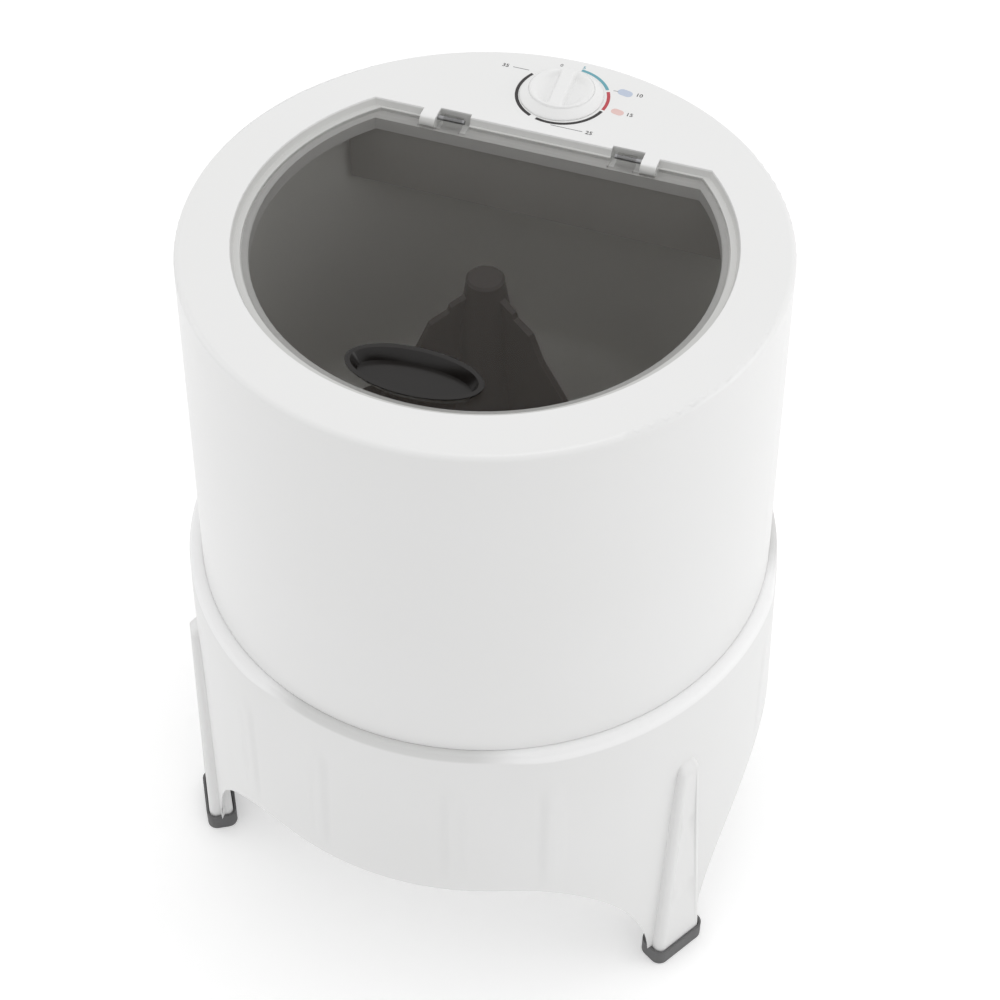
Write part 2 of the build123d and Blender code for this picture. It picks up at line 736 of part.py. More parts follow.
# Drive shaft in its bearing housing below the tub
with BuildPart() as drive_shaft:
    rods([(0, 0)], shaft_shoulder, shaft_radius, shaft_top - shaft_shoulder)
    rods([(0, 0)], shaft_bottom, shaft_end_radius, shaft_shoulder - shaft_bottom)
    rods([(0, 0)], shaft_top, 4 + touch_gap, -24, Mode.SUBTRACT)
drive_shaft.part.label = "drive_shaft"
export_step(drive_shaft.part, "parts/drive_shaft.step")

flange_under = tub_under - housing_flange_thickness
neck_top = tub_floor + housing_neck_rise
seal_seat = neck_top - seal_height
bush_seat = bush_radius + touch_gap

with BuildPart() as bearing_housing:
    turned([(bush_seat, housing_bottom), (housing_radius, housing_bottom), (housing_radius, flange_under),
            (housing_flange_radius, flange_under), (housing_flange_radius, tub_under),
            (housing_neck_radius, tub_under), (housing_neck_radius, neck_top),
            (seal_radius + touch_gap, neck_top), (seal_radius + touch_gap, seal_seat),
            (bush_seat, seal_seat)])
    for theta in (0, 90, 180, 270):
        with BuildSketch(radial(theta)):
            with BuildLine():
                Polyline((housing_radius - 2, flange_under), (housing_flange_radius - 3, flange_under),
                         (housing_radius, flange_under - 40), (housing_radius - 2, flange_under - 40),
                         close=True)
            make_face()
        extrude(amount=2.5, both=True)
    rods(housing_bolt_points, flange_under, bolt_radius + 0.3, housing_flange_thickness, Mode.SUBTRACT)
bearing_housing.part.label = "bearing_housing"
export_step(bearing_housing.part, "parts/bearing_housing.step")

with BuildPart() as upper_bush:
    tubes([(0, 0)], seal_seat - 4, bush_radius, shaft_radius + running_gap, -bush_length)
upper_bush.part.label = "upper_bush"
export_step(upper_bush.part, "parts/upper_bush.step")

with BuildPart() as lower_bush:
    tubes([(0, 0)], housing_bottom + 2, bush_radius, shaft_radius + running_gap, bush_length)
lower_bush.part.label = "lower_bush"
export_step(lower_bush.part, "parts/lower_bush.step")

with BuildPart() as shaft_seal:
    tubes([(0, 0)], seal_seat, seal_radius, shaft_radius + running_gap, seal_height)
shaft_seal.part.label = "shaft_seal"
export_step(shaft_seal.part, "parts/shaft_seal.step")

with BuildPart() as bearing_housing_bolts:
    screws(housing_bolt_points, flange_under, housing_flange_thickness + tub_hub_rise - 1, bolt_radius,
           bolt_head_radius, bolt_head_height)
bearing_housing_bolts.part.label = "bearing_housing_bolts"
export_step(bearing_housing_bolts.part, "parts/bearing_housing_bolts.step")

# Belt drive
pulley_low = shaft_shoulder - pulley_hub_height

with BuildPart() as drive_pulley:
    rim_inner = pulley_belt_radius - belt_depth - groove_spare - 4
    grooved_rim(pulley_belt_radius, rim_inner, (0, 0))
    tubes([(0, 0)], belt_height - pulley_web / 2, rim_inner + 1, shaft_end_radius + touch_gap, pulley_web)
    tubes([(0, 0)], pulley_low, pulley_hub_radius, shaft_end_radius + touch_gap, pulley_hub_height)
    with BuildSketch(Plane.XY.offset(belt_height - pulley_web / 2)):
        with PolarLocations((rim_inner + pulley_hub_radius) / 2, 6):
            Circle(19)
    extrude(amount=pulley_web, mode=Mode.SUBTRACT)
drive_pulley.part.label = "drive_pulley"
export_step(drive_pulley.part, "parts/drive_pulley.step")

with BuildPart() as drive_pulley_nut:
    with BuildSketch(Plane.XY.offset(pulley_low)):
        RegularPolygon(9.5, 6, major_radius=False)
        Circle(shaft_end_radius + touch_gap, mode=Mode.SUBTRACT)
    extrude(amount=-8)
drive_pulley_nut.part.label = "drive_pulley_nut"
export_step(drive_pulley_nut.part, "parts/drive_pulley_nut.step")

motor_centre = (0, motor_y)
belt_lean = asin((pulley_belt_radius - motor_belt_radius) / motor_y)
lean_x, lean_y = cos(belt_lean), sin(belt_lean)
big_x, big_y = pulley_belt_radius * lean_x, pulley_belt_radius * lean_y
small_x, small_y = motor_belt_radius * lean_x, motor_y + motor_belt_radius * lean_y

with BuildPart() as drive_belt:
    with BuildLine(Plane.XY.offset(belt_height)) as belt_path:
        Line((big_x, big_y), (small_x, small_y))
        ThreePointArc((small_x, small_y), (0, motor_y + motor_belt_radius), (-small_x, small_y))
        Line((-small_x, small_y), (-big_x, big_y))
        ThreePointArc((-big_x, big_y), (0, -pulley_belt_radius), (big_x, big_y))
    with BuildSketch(Plane(origin=(big_x, big_y, belt_height), x_dir=(lean_x, lean_y, 0),
                           z_dir=(-lean_y, lean_x, 0))):
        with BuildLine():
            taper = belt_depth * tan(radians(belt_flank))
            Polyline((0, -belt_width / 2), (0, belt_width / 2), (-belt_depth, belt_width / 2 - taper),
                     (-belt_depth, taper - belt_width / 2), close=True)
        make_face()
    sweep(path=belt_path.line)
drive_belt.part.label = "drive_belt"
export_step(drive_belt.part, "parts/drive_belt.step")

with BuildPart() as motor_pulley:
    grooved_rim(motor_belt_radius, motor_shaft_radius + touch_gap, motor_centre)
motor_pulley.part.label = "motor_pulley"
export_step(motor_pulley.part, "parts/motor_pulley.step")

# Motor hung below the deck on a steel plate with rubber rings
plate_top = deck_under - grommet_height
plate_under = plate_top - motor_plate_thickness
stator_top = plate_under - upper_shield_height
stator_bottom = stator_top - stator_height
motor_bottom = stator_bottom - lower_shield_height
motor_bolt_points = [(x, motor_y + y) for x in (-motor_bolt_offset, motor_bolt_offset)
                     for y in (-motor_bolt_offset, motor_bolt_offset)]
plate_bolt_points = [(x, motor_y + y) for x in (-motor_plate_bolt_x, motor_plate_bolt_x)
                     for y in (-motor_plate_bolt_y, motor_plate_bolt_y)]
shaft_run = motor_shaft_radius + running_gap

with BuildPart() as motor_upper_shield:
    turned([(shaft_run, plate_under - 8), (10, plate_under - 8), (10, plate_under - motor_shield_wall),
            (motor_radius - motor_shield_wall, plate_under - motor_shield_wall),
            (motor_radius - motor_shield_wall, stator_top), (motor_radius, stator_top),
            (motor_radius, plate_under), (shaft_run, plate_under)], motor_centre)
    rods(motor_bolt_points, stator_top, bolt_head_radius, upper_shield_height)
    rods(motor_bolt_points, stator_top, bolt_radius + touch_gap, upper_shield_height, Mode.SUBTRACT)
motor_upper_shield.part.label = "motor_upper_shield"
export_step(motor_upper_shield.part, "parts/motor_upper_shield.step")

with BuildPart() as motor_lower_shield:
    turned([(shaft_run, motor_bottom), (motor_radius, motor_bottom), (motor_radius, stator_bottom),
            (motor_radius - motor_shield_wall, stator_bottom),
            (motor_radius - motor_shield_wall, motor_bottom + motor_shield_wall),
            (10, motor_bottom + motor_shield_wall), (10, motor_bottom + 10), (shaft_run, motor_bottom + 10)],
           motor_centre)
    rods(motor_bolt_points, motor_bottom, bolt_head_radius, lower_shield_height)
    rods(motor_bolt_points, motor_bottom, bolt_radius + touch_gap, lower_shield_height, Mode.SUBTRACT)
motor_lower_shield.part.label = "motor_lower_shield"
export_step(motor_lower_shield.part, "parts/motor_lower_shield.step")

with BuildPart() as motor_stator:
    with BuildSketch(Plane.XY.offset(stator_bottom)):
        with Locations(motor_centre):
            Circle(motor_radius)
            Rectangle(2 * motor_radius - 10, 2 * motor_radius - 10, mode=Mode.INTERSECT)
            Circle(stator_bore, mode=Mode.SUBTRACT)
        with Locations(*motor_bolt_points):
            Circle(bolt_radius + touch_gap, mode=Mode.SUBTRACT)
    extrude(amount=stator_height)
motor_stator.part.label = "motor_stator"
export_step(motor_stator.part, "parts/motor_stator.step")

with BuildPart() as motor_windings:
    tubes([motor_centre], stator_top, winding_radius, rotor_radius + 4, winding_height)
    tubes([motor_centre], stator_bottom, winding_radius, rotor_radius + 4, -winding_height)
    fillet(motor_windings.edges().group_by(Axis.Z)[-1], 3)
    fillet(motor_windings.edges().group_by(Axis.Z)[0], 3)
motor_windings.part.label = "motor_windings"
export_step(motor_windings.part, "parts/motor_windings.step")

with BuildPart() as motor_rotor:
    rods([motor_centre], pulley_low - 7, motor_shaft_radius, plate_under - 3 - pulley_low + 7)
    rods([motor_centre], stator_bottom, rotor_radius, stator_height)
    rods([motor_centre], stator_bottom - 4, rotor_radius - 2, stator_height + 8)
motor_rotor.part.label = "motor_rotor"
export_step(motor_rotor.part, "parts/motor_rotor.step")

fan_level = stator_top + winding_height + 2

with BuildPart() as motor_fan:
    tubes([motor_centre], fan_level, fan_radius, motor_shaft_radius + touch_gap, 2)
    tubes([motor_centre], fan_level, 10, motor_shaft_radius + touch_gap, 8)
    with BuildSketch(Plane.XY.offset(fan_level + 1)):
        with Locations(motor_centre):
            with PolarLocations(fan_radius / 2 + 5, 8):
                Rectangle(fan_radius - 12, 2)
    extrude(amount=7)
motor_fan.part.label = "motor_fan"
export_step(motor_fan.part, "parts/motor_fan.step")

with BuildPart() as motor_bolts:
    screws(motor_bolt_points, motor_bottom, plate_top - motor_bottom, bolt_radius, bolt_head_radius,
           bolt_head_height)
motor_bolts.part.label = "motor_bolts"
export_step(motor_bolts.part, "parts/motor_bolts.step")

with BuildPart() as motor_plate:
    with BuildSketch(Plane.XY.offset(plate_under)):
        with Locations(motor_centre):
            RectangleRounded(motor_plate_width, motor_plate_length, 12)
            Circle(rotor_radius, mode=Mode.SUBTRACT)
        with Locations(*motor_bolt_points, *plate_bolt_points):
            Circle(bolt_radius + touch_gap, mode=Mode.SUBTRACT)
    extrude(amount=motor_plate_thickness)
motor_plate.part.label = "motor_plate"
export_step(motor_plate.part, "parts/motor_plate.step")

with BuildPart() as motor_grommets:
    tubes(plate_bolt_points, plate_top, grommet_radius, bolt_radius + touch_gap, grommet_height)
motor_grommets.part.label = "motor_grommets"
export_step(motor_grommets.part, "parts/motor_grommets.step")

with BuildPart() as motor_plate_bolts:
    screws(plate_bolt_points, deck_top, plate_under - 5 - deck_top, bolt_radius, bolt_head_radius,
           bolt_head_height)
motor_plate_bolts.part.label = "motor_plate_bolts"
export_step(motor_plate_bolts.part, "parts/motor_plate_bolts.step")

with BuildPart() as motor_plate_nuts:
    with BuildSketch(Plane.XY.offset(plate_under)):
        with Locations(*plate_bolt_points):
            RegularPolygon(4.5, 6, major_radius=False)
            Circle(bolt_radius + touch_gap, mode=Mode.SUBTRACT)
    extrude(amount=-4)
motor_plate_nuts.part.label = "motor_plate_nuts"
export_step(motor_plate_nuts.part, "parts/motor_plate_nuts.step")

# Capacitor in its strap and the terminal block, both below the deck
deck_screw_points = [(capacitor_x, capacitor_y - capacitor_radius - 9),
                     (terminal_x - 29, terminal_y), (terminal_x + 29, terminal_y)]
ear_under = deck_under - ear_thickness

with BuildPart() as capacitor:
    rods([(capacitor_x, capacitor_y)], capacitor_top, capacitor_radius, -capacitor_length)
    fillet(capacitor.edges().group_by(Axis.Z)[0], 2)
    for step in (-6, 6):
        block((capacitor_x + step, capacitor_y), capacitor_top - capacitor_length - 7, 0.8, 6.3, 8)
capacitor.part.label = "capacitor"
export_step(capacitor.part, "parts/capacitor.step")

with BuildPart() as capacitor_clamp:
    tubes([(capacitor_x, capacitor_y)], capacitor_top - 40, capacitor_radius + ear_thickness,
          capacitor_radius + touch_gap, 16)
    block((capacitor_x, capacitor_y - capacitor_radius - ear_thickness / 2 - 0.3), capacitor_top - 40, 14,
          ear_thickness - 0.6, deck_under - capacitor_top + 40)
    block((capacitor_x, capacitor_y - capacitor_radius - 8), ear_under, 14, 16, ear_thickness)
    rods(deck_screw_points[:1], ear_under, screw_hole, ear_thickness, Mode.SUBTRACT)
capacitor_clamp.part.label = "capacitor_clamp"
export_step(capacitor_clamp.part, "parts/capacitor_clamp.step")

with BuildPart() as terminal_block:
    block((terminal_x, terminal_y), deck_under - 15, 46, 20, 15)
    block((terminal_x, terminal_y), ear_under, 70, 12, ear_thickness)
    with BuildSketch(Plane.XY.offset(deck_under - 15)):
        with Locations((terminal_x, terminal_y)):
            with GridLocations(11, 10, 4, 2):
                Rectangle(7, 6)
    extrude(amount=6, mode=Mode.SUBTRACT)
    rods(deck_screw_points[1:], ear_under, screw_hole, ear_thickness, Mode.SUBTRACT)
terminal_block.part.label = "terminal_block"
export_step(terminal_block.part, "parts/terminal_block.step")

with BuildPart() as deck_screws:
    screws(deck_screw_points, ear_under, ear_thickness + deck_thickness - 0.5)
deck_screws.part.label = "deck_screws"
export_step(deck_screws.part, "parts/deck_screws.step")

# Deck that lies on the ledge of the base and carries the motor below it
with BuildPart() as support_deck:
    tubes([(0, 0)], deck_under, deck_radius, deck_hole_radius, deck_thickness)
    tubes([(0, 0)], deck_under, deck_hole_radius + deck_rib_thickness, deck_hole_radius, -deck_rib_depth)
    for theta in deck_rib_angles:
        with BuildSketch(facing(theta, deck_hole_radius + 1, deck_under - deck_rib_depth / 2)):
            Rectangle(deck_rib_thickness, deck_rib_depth)
        extrude(amount=deck_ledge_radius - deck_rib_clearance - deck_hole_radius)
    rods([drain_point], deck_under - deck_rib_depth, hose_hole_radius, deck_thickness + deck_rib_depth,
         Mode.SUBTRACT)
    rods(base_screw_points, deck_under, screw_hole, deck_thickness, Mode.SUBTRACT)
    rods(plate_bolt_points, deck_under, bolt_radius + 0.3, deck_thickness, Mode.SUBTRACT)
    rods(deck_screw_points, deck_under, screw_radius + touch_gap, deck_thickness, Mode.SUBTRACT)
support_deck.part.label = "support_deck"
export_step(support_deck.part, "parts/support_deck.step")

# Base: round skirt with three arches, three legs and ledges for the deck and the under cover
leg_foot = cap_sole + soft_gap
cover_screw_points = ring_points(cover_screw_circle, (-25, 25, 95, 145, 215, 265))
cover_top = cover_height + cover_thickness
gland_plane = facing(gland_angle, gland_pad_inner, gland_height)
outlet_plane = facing(drain_angle, outlet_pad_inner, drain_outlet_height)

with BuildPart() as base:
    turned(skirt_outline(0, 0, [(shoulder_radius, shoulder_height), (ledge_edge_radius, ledge_edge_height),
                                (ledge_top_radius, seam_height)]) + [(0, seam_height), (0, 0)])
    turned(skirt_outline(base_wall, -1, [(shoulder_radius, ledge_under)]) + [(0, ledge_under), (0, -1)],
           mode=Mode.SUBTRACT)
    for arch in arch_angles:
        for turn in (-rib_outer_turn, -rib_inner_turn, rib_inner_turn, rib_outer_turn):
            loft([upright_section(arch + turn, level, face + rib_height, rib_half_width, rib_depth,
                                  rib_corner)
                  for level, face in ((arch_height - 14, skirt_mid_radius), (skirt_mid_height, skirt_mid_radius),
                                      (skirt_top_height, skirt_top_radius))], ruled=True)
    rods([(0, 0)], deck_under, deck_radius + deck_edge_gap, seam_height - deck_under, Mode.SUBTRACT)
    rods([(0, 0)], ledge_under, deck_ledge_radius, deck_ledge_thickness, Mode.SUBTRACT)
    tubes([(0, 0)], cover_top, skirt_mid_radius - base_wall / 2, cover_ledge_radius, base_wall)
    rods(cover_screw_points, cover_top, boss_radius, 14)
    for theta in arch_angles:
        with BuildSketch(facing(theta, arch_cut_start)):
            Rectangle(2 * arch_flat_half, 2 * arch_height)
            with Locations((-arch_flat_half, 0), (arch_flat_half, 0)):
                Ellipse(arch_half - arch_flat_half, arch_height)
        extrude(amount=arch_cut_start, mode=Mode.SUBTRACT)
    pipe(gland_plane, gland_hole + 7, 0, pad_radius - gland_pad_inner)
    pipe(outlet_plane, drain_tube_radius + 10, 0, pad_radius - outlet_pad_inner)
    rods([(0, 0)], 0, skirt_floor_radius + 1, cap_height + soft_gap, Mode.SUBTRACT)
    for theta in leg_angles:
        loft([upright_section(theta, leg_foot, leg_radius, leg_half_width, leg_depth, leg_corner),
              upright_section(theta, leg_top_height, leg_top_radius, leg_top_half_width, leg_top_depth,
                              leg_top_corner),
              upright_section(theta, leg_fade_height, leg_fade_radius, leg_fade_half_width, leg_fade_depth,
                              leg_fade_corner)], ruled=True)
    for theta in leg_angles:
        loft([upright_section(theta, 0, leg_radius - leg_wall, leg_half_width - leg_wall,
                              leg_cavity_depth, 3),
              upright_section(theta, leg_top_height - leg_wall, leg_top_radius - leg_wall - 1,
                              leg_top_half_width - leg_wall, leg_top_cavity_depth, 3)],
             ruled=True, mode=Mode.SUBTRACT)
    pipe(gland_plane, gland_hole, 0, pad_radius - gland_pad_inner, Mode.SUBTRACT)
    pipe(outlet_plane, drain_tube_radius + 0.5, 0, pad_radius - outlet_pad_inner, Mode.SUBTRACT)
    rods(base_screw_points, ledge_under, screw_hole, deck_ledge_thickness, Mode.SUBTRACT)
    rods(cover_screw_points, cover_top, screw_radius + touch_gap, 12, Mode.SUBTRACT)
base.part.label = "base"
export_step(base.part, "parts/base.step")

with BuildPart() as base_screws:
    screws(base_screw_points, ledge_under, deck_ledge_thickness + deck_thickness + base_boss_height - 10)
base_screws.part.label = "base_screws"
export_step(base_screws.part, "parts/base_screws.step")

# Rubber foot caps, with room for legs that lean outwards
cap_lean = max(0.0, leg_top_radius - leg_radius) * cap_height / leg_top_height
cap_face = leg_radius + cap_lean
cap_depth = leg_depth + cap_lean

for theta, side in zip(leg_angles, ("right", "rear", "left")):
    with BuildPart() as foot_cap:
        extrude(upright_section(theta, 0, cap_face + cap_wall, leg_half_width + cap_wall,
                                cap_depth + 2 * cap_wall, leg_corner + cap_wall), amount=cap_height)
        fillet(foot_cap.edges().group_by(Axis.Z)[0], 1)
        extrude(upright_section(theta, cap_sole, cap_face + soft_gap, leg_half_width + soft_gap,
                                cap_depth + 2 * soft_gap, leg_corner + soft_gap),
                amount=cap_height, mode=Mode.SUBTRACT)
    foot_cap.part.label = f"foot_cap_{side}"
    export_step(foot_cap.part, f"parts/foot_cap_{side}.step")

# Under cover, a vented disc that closes the drive from below
with BuildPart() as under_cover:
    rods([(0, 0)], cover_height, cover_radius, cover_thickness)
    tubes([(0, 0)], cover_height, cover_rib_radius, cover_rib_radius - cover_thickness, -cover_rib_depth)
    with BuildSketch(Plane.XY.offset(cover_height)):
        with PolarLocations(cover_vent_circle, 12):
            SlotOverall(46, 7)
        with Locations(*cover_screw_points):
            Circle(screw_hole)
    extrude(amount=cover_thickness, mode=Mode.SUBTRACT)
under_cover.part.label = "under_cover"
export_step(under_cover.part, "parts/under_cover.step")

with BuildPart() as under_cover_screws:
    screws(cover_screw_points, cover_height, cover_thickness + 10)
under_cover_screws.part.label = "under_cover_screws"
export_step(under_cover_screws.part, "parts/under_cover_screws.step")

# Drain line from the tub spigot to the outlet in the skirt
hose_inner = drain_tube_radius + soft_gap
hose_outer = hose_inner + hose_wall
hose_top = deck_top + hose_rise
outlet_start = outlet_pad_inner - outlet_inner_reach
hose_end = outlet_start + hose_grip

with BuildPart() as drain_hose:
    with BuildLine(radial(drain_angle)) as hose_path:
        corner = drain_outlet_height + hose_bend
        Line((drain_radius, hose_top), (drain_radius, corner))
        RadiusArc((drain_radius, corner), (drain_radius + hose_bend, drain_outlet_height), -hose_bend)
        Line((drain_radius + hose_bend, drain_outlet_height), (hose_end, drain_outlet_height))
    with BuildSketch(Plane(origin=(*drain_point, hose_top), z_dir=(0, 0, -1))):
        Circle(hose_outer)
        Circle(hose_inner, mode=Mode.SUBTRACT)
    sweep(path=hose_path.line)
drain_hose.part.label = "drain_hose"
export_step(drain_hose.part, "parts/drain_hose.step")

with BuildPart() as drain_hose_clips:
    tubes([drain_point], hose_top - 10, hose_outer + 2, hose_outer + touch_gap, 8)
    pipe(facing(drain_angle, hose_end - 10, drain_outlet_height), hose_outer + 2, hose_outer + touch_gap, 8)
drain_hose_clips.part.label = "drain_hose_clips"
export_step(drain_hose_clips.part, "parts/drain_hose_clips.step")

with BuildPart() as drain_outlet:
    pipe(facing(drain_angle, outlet_start, drain_outlet_height), drain_tube_radius, drain_bore,
         pad_radius + outlet_reach - outlet_start)
    pipe(facing(drain_angle, pad_radius, drain_outlet_height), drain_tube_radius + 8, drain_bore, 3)
drain_outlet.part.label = "drain_outlet"
export_step(drain_outlet.part, "parts/drain_outlet.step")

with BuildPart() as drain_outlet_nut:
    pipe(facing(drain_angle, outlet_pad_inner, drain_outlet_height), drain_tube_radius + 6,
         drain_tube_radius + touch_gap, -6)
drain_outlet_nut.part.label = "drain_outlet_nut"
export_step(drain_outlet_nut.part, "parts/drain_outlet_nut.step")

# Cord inlet: a flanged gland with a nose that grips the cord, held by a ring nut
with BuildPart() as cord_gland:
    pipe(facing(gland_angle, gland_pad_inner - 6, gland_height), gland_hole - soft_gap, gland_entry,
         pad_radius - gland_pad_inner + 6)
    pipe(facing(gland_angle, pad_radius, gland_height), gland_hole + 4, cord_radius, gland_flange)
    pipe(facing(gland_angle, pad_radius + gland_flange, gland_height), cord_radius + 3, cord_radius,
         gland_nose)
    pipe(facing(gland_angle, pad_radius, gland_height), gland_entry, 0, gland_flange - 2,
         Mode.SUBTRACT)
cord_gland.part.label = "cord_gland"
export_step(cord_gland.part, "parts/cord_gland.step")

with BuildPart() as cord_gland_nut:
    pipe(facing(gland_angle, gland_pad_inner, gland_height), gland_hole + 4, gland_hole, -5)
cord_gland_nut.part.label = "cord_gland_nut"
export_step(cord_gland_nut.part, "parts/cord_gland_nut.step")
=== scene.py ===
import json
from math import cos, pi, radians, sin

import bmesh
import bpy
import numpy as np
from mathutils import Matrix, Vector


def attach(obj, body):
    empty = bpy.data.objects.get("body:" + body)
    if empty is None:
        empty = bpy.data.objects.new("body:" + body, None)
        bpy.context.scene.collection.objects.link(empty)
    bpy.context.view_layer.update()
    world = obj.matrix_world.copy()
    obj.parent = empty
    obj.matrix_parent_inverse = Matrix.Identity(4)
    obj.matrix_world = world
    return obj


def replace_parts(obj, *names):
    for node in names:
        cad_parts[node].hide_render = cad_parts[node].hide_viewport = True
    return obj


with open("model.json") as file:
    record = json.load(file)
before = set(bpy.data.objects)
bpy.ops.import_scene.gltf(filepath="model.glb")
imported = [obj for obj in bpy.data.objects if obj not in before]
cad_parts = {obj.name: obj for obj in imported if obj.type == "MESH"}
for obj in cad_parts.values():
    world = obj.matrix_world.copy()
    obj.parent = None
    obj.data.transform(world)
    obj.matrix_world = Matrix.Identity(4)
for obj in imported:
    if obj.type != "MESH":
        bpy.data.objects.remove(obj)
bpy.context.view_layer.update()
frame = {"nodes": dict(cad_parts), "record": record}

# One millimetre in metres
MM = 0.001

# Level of the top panel, and the middles of the knob and of the ring printed round it, in
# millimetres
PANEL = 688.0
KNOB = (0.0, 186.0)
DIAL = (0.9, 186.0)

# Degrees from the middle of an arch of the base to the next leg
HALF_ARCH = 60.0


# Materials

# Flutes of the base: their middles and half their width in degrees off the middle of an arch, their
# relief in millimetres, and the levels in metres over which they rise and fade
FLUTES = (13.5, 31.75)
FLUTE_REACH = 3.2
FLUTE_RELIEF = 1.8
FLUTE_RISE = (0.150, 0.230)
FLUTE_FADE = (0.290, 0.335)

# Share of a noise texture's range that most of its values fill
NOISE_SPAN = (0.3, 0.7)

# Enamelled wire of the motor, in millimetres
WIRE = 0.8


def linear(colour):
    """sRGB hex colour to linear light, with full alpha."""
    parts = [int(colour[i:i + 2], 16) / 255 for i in (1, 3, 5)]
    light = [p / 12.92 if p <= 0.04045 else ((p + 0.055) / 1.055) ** 2.4 for p in parts]
    return (*light, 1.0)


def add_node(tree, kind, inputs=None, **settings):
    """Adds a node with its settings, and sets each input or links it to a socket."""
    node = tree.nodes.new(kind)
    for name, value in settings.items():
        setattr(node, name, value)
    for name, value in (inputs or {}).items():
        if isinstance(value, bpy.types.NodeSocket):
            tree.links.new(value, node.inputs[name])
        else:
            node.inputs[name].default_value = value
    return node


def find_node(tree, kind):
    """First node of a type in a tree."""
    return next(node for node in tree.nodes if node.type == kind)


def empty_material(name):
    """New material, and its node tree with nothing in it."""
    material = bpy.data.materials.new(name)
    material.use_nodes = True
    material.node_tree.nodes.clear()
    return material, material.node_tree


def per_mm(size):
    """Noise scale on Object coordinates in metres for features of a size in millimetres."""
    return 1 / (size * MM)


def surface(name, shades, patch, roughness, grain, relief, metallic=0.0, stretch=(1, 1, 1),
            **finish):
    """Material whose colour drifts between shades over patches, with a grain in its roughness and
    relief.

    patch and grain are feature sizes in millimetres, relief is the depth of the grain in
    millimetres, and roughness is its lowest and highest value. stretch scales the place at which
    the grain is read, so a value below 1 draws the grain out along that axis.
    """
    material, tree = empty_material(name)
    place = add_node(tree, "ShaderNodeTexCoord").outputs["Object"]
    along = add_node(tree, "ShaderNodeMapping", {"Vector": place, "Scale": stretch})
    drift = add_node(tree, "ShaderNodeTexNoise",
                     {"Vector": place, "Scale": per_mm(patch), "Detail": 2.0, "Roughness": 0.5})
    fine = add_node(tree, "ShaderNodeTexNoise",
                    {"Vector": along.outputs["Vector"], "Scale": per_mm(grain), "Detail": 3.0,
                     "Roughness": 0.55})
    colour = add_node(tree, "ShaderNodeMix", {"Factor": drift.outputs["Fac"]}, data_type="RGBA")
    colour.inputs[6].default_value = linear(shades[0])
    colour.inputs[7].default_value = linear(shades[1])
    rough = add_node(tree, "ShaderNodeMapRange",
                     {"Value": fine.outputs["Fac"], "From Min": NOISE_SPAN[0],
                      "From Max": NOISE_SPAN[1], "To Min": roughness[0], "To Max": roughness[1]})
    bump = add_node(tree, "ShaderNodeBump", {"Height": fine.outputs["Fac"], "Strength": 1.0,
                                             "Distance": relief * MM})
    shader = add_node(tree, "ShaderNodeBsdfPrincipled",
                      {"Base Color": colour.outputs[2], "Roughness": rough.outputs["Result"],
                       "Normal": bump.outputs["Normal"], "Metallic": metallic, **finish})
    add_node(tree, "ShaderNodeOutputMaterial", {"Surface": shader.outputs["BSDF"]})
    return material


def upright_parts(tree):
    """Object coordinates X, Y and Z as sockets, in metres."""
    place = add_node(tree, "ShaderNodeTexCoord").outputs["Object"]
    return add_node(tree, "ShaderNodeSeparateXYZ", {"Vector": place}).outputs


def axis_distance(tree, part):
    """Distance from the upright axis, in metres."""
    flat = add_node(tree, "ShaderNodeCombineXYZ", {"X": part["X"], "Y": part["Y"]})
    away = add_node(tree, "ShaderNodeVectorMath", {0: flat.outputs[0]}, operation="LENGTH")
    return away.outputs["Value"]


def arch_angle(tree, part):
    """Angle about the upright axis, folded to the degrees off the middle of the nearest arch."""
    front = add_node(tree, "ShaderNodeMath", {0: part["Y"], 1: -1.0}, operation="MULTIPLY")
    angle = add_node(tree, "ShaderNodeMath", {0: part["X"], 1: front.outputs[0]},
                     operation="ARCTAN2")
    turned = add_node(tree, "ShaderNodeMath", {0: angle.outputs[0]}, operation="DEGREES")
    folded = add_node(tree, "ShaderNodeMath", {0: turned.outputs[0], 1: HALF_ARCH},
                      operation="PINGPONG")
    return folded.outputs[0]


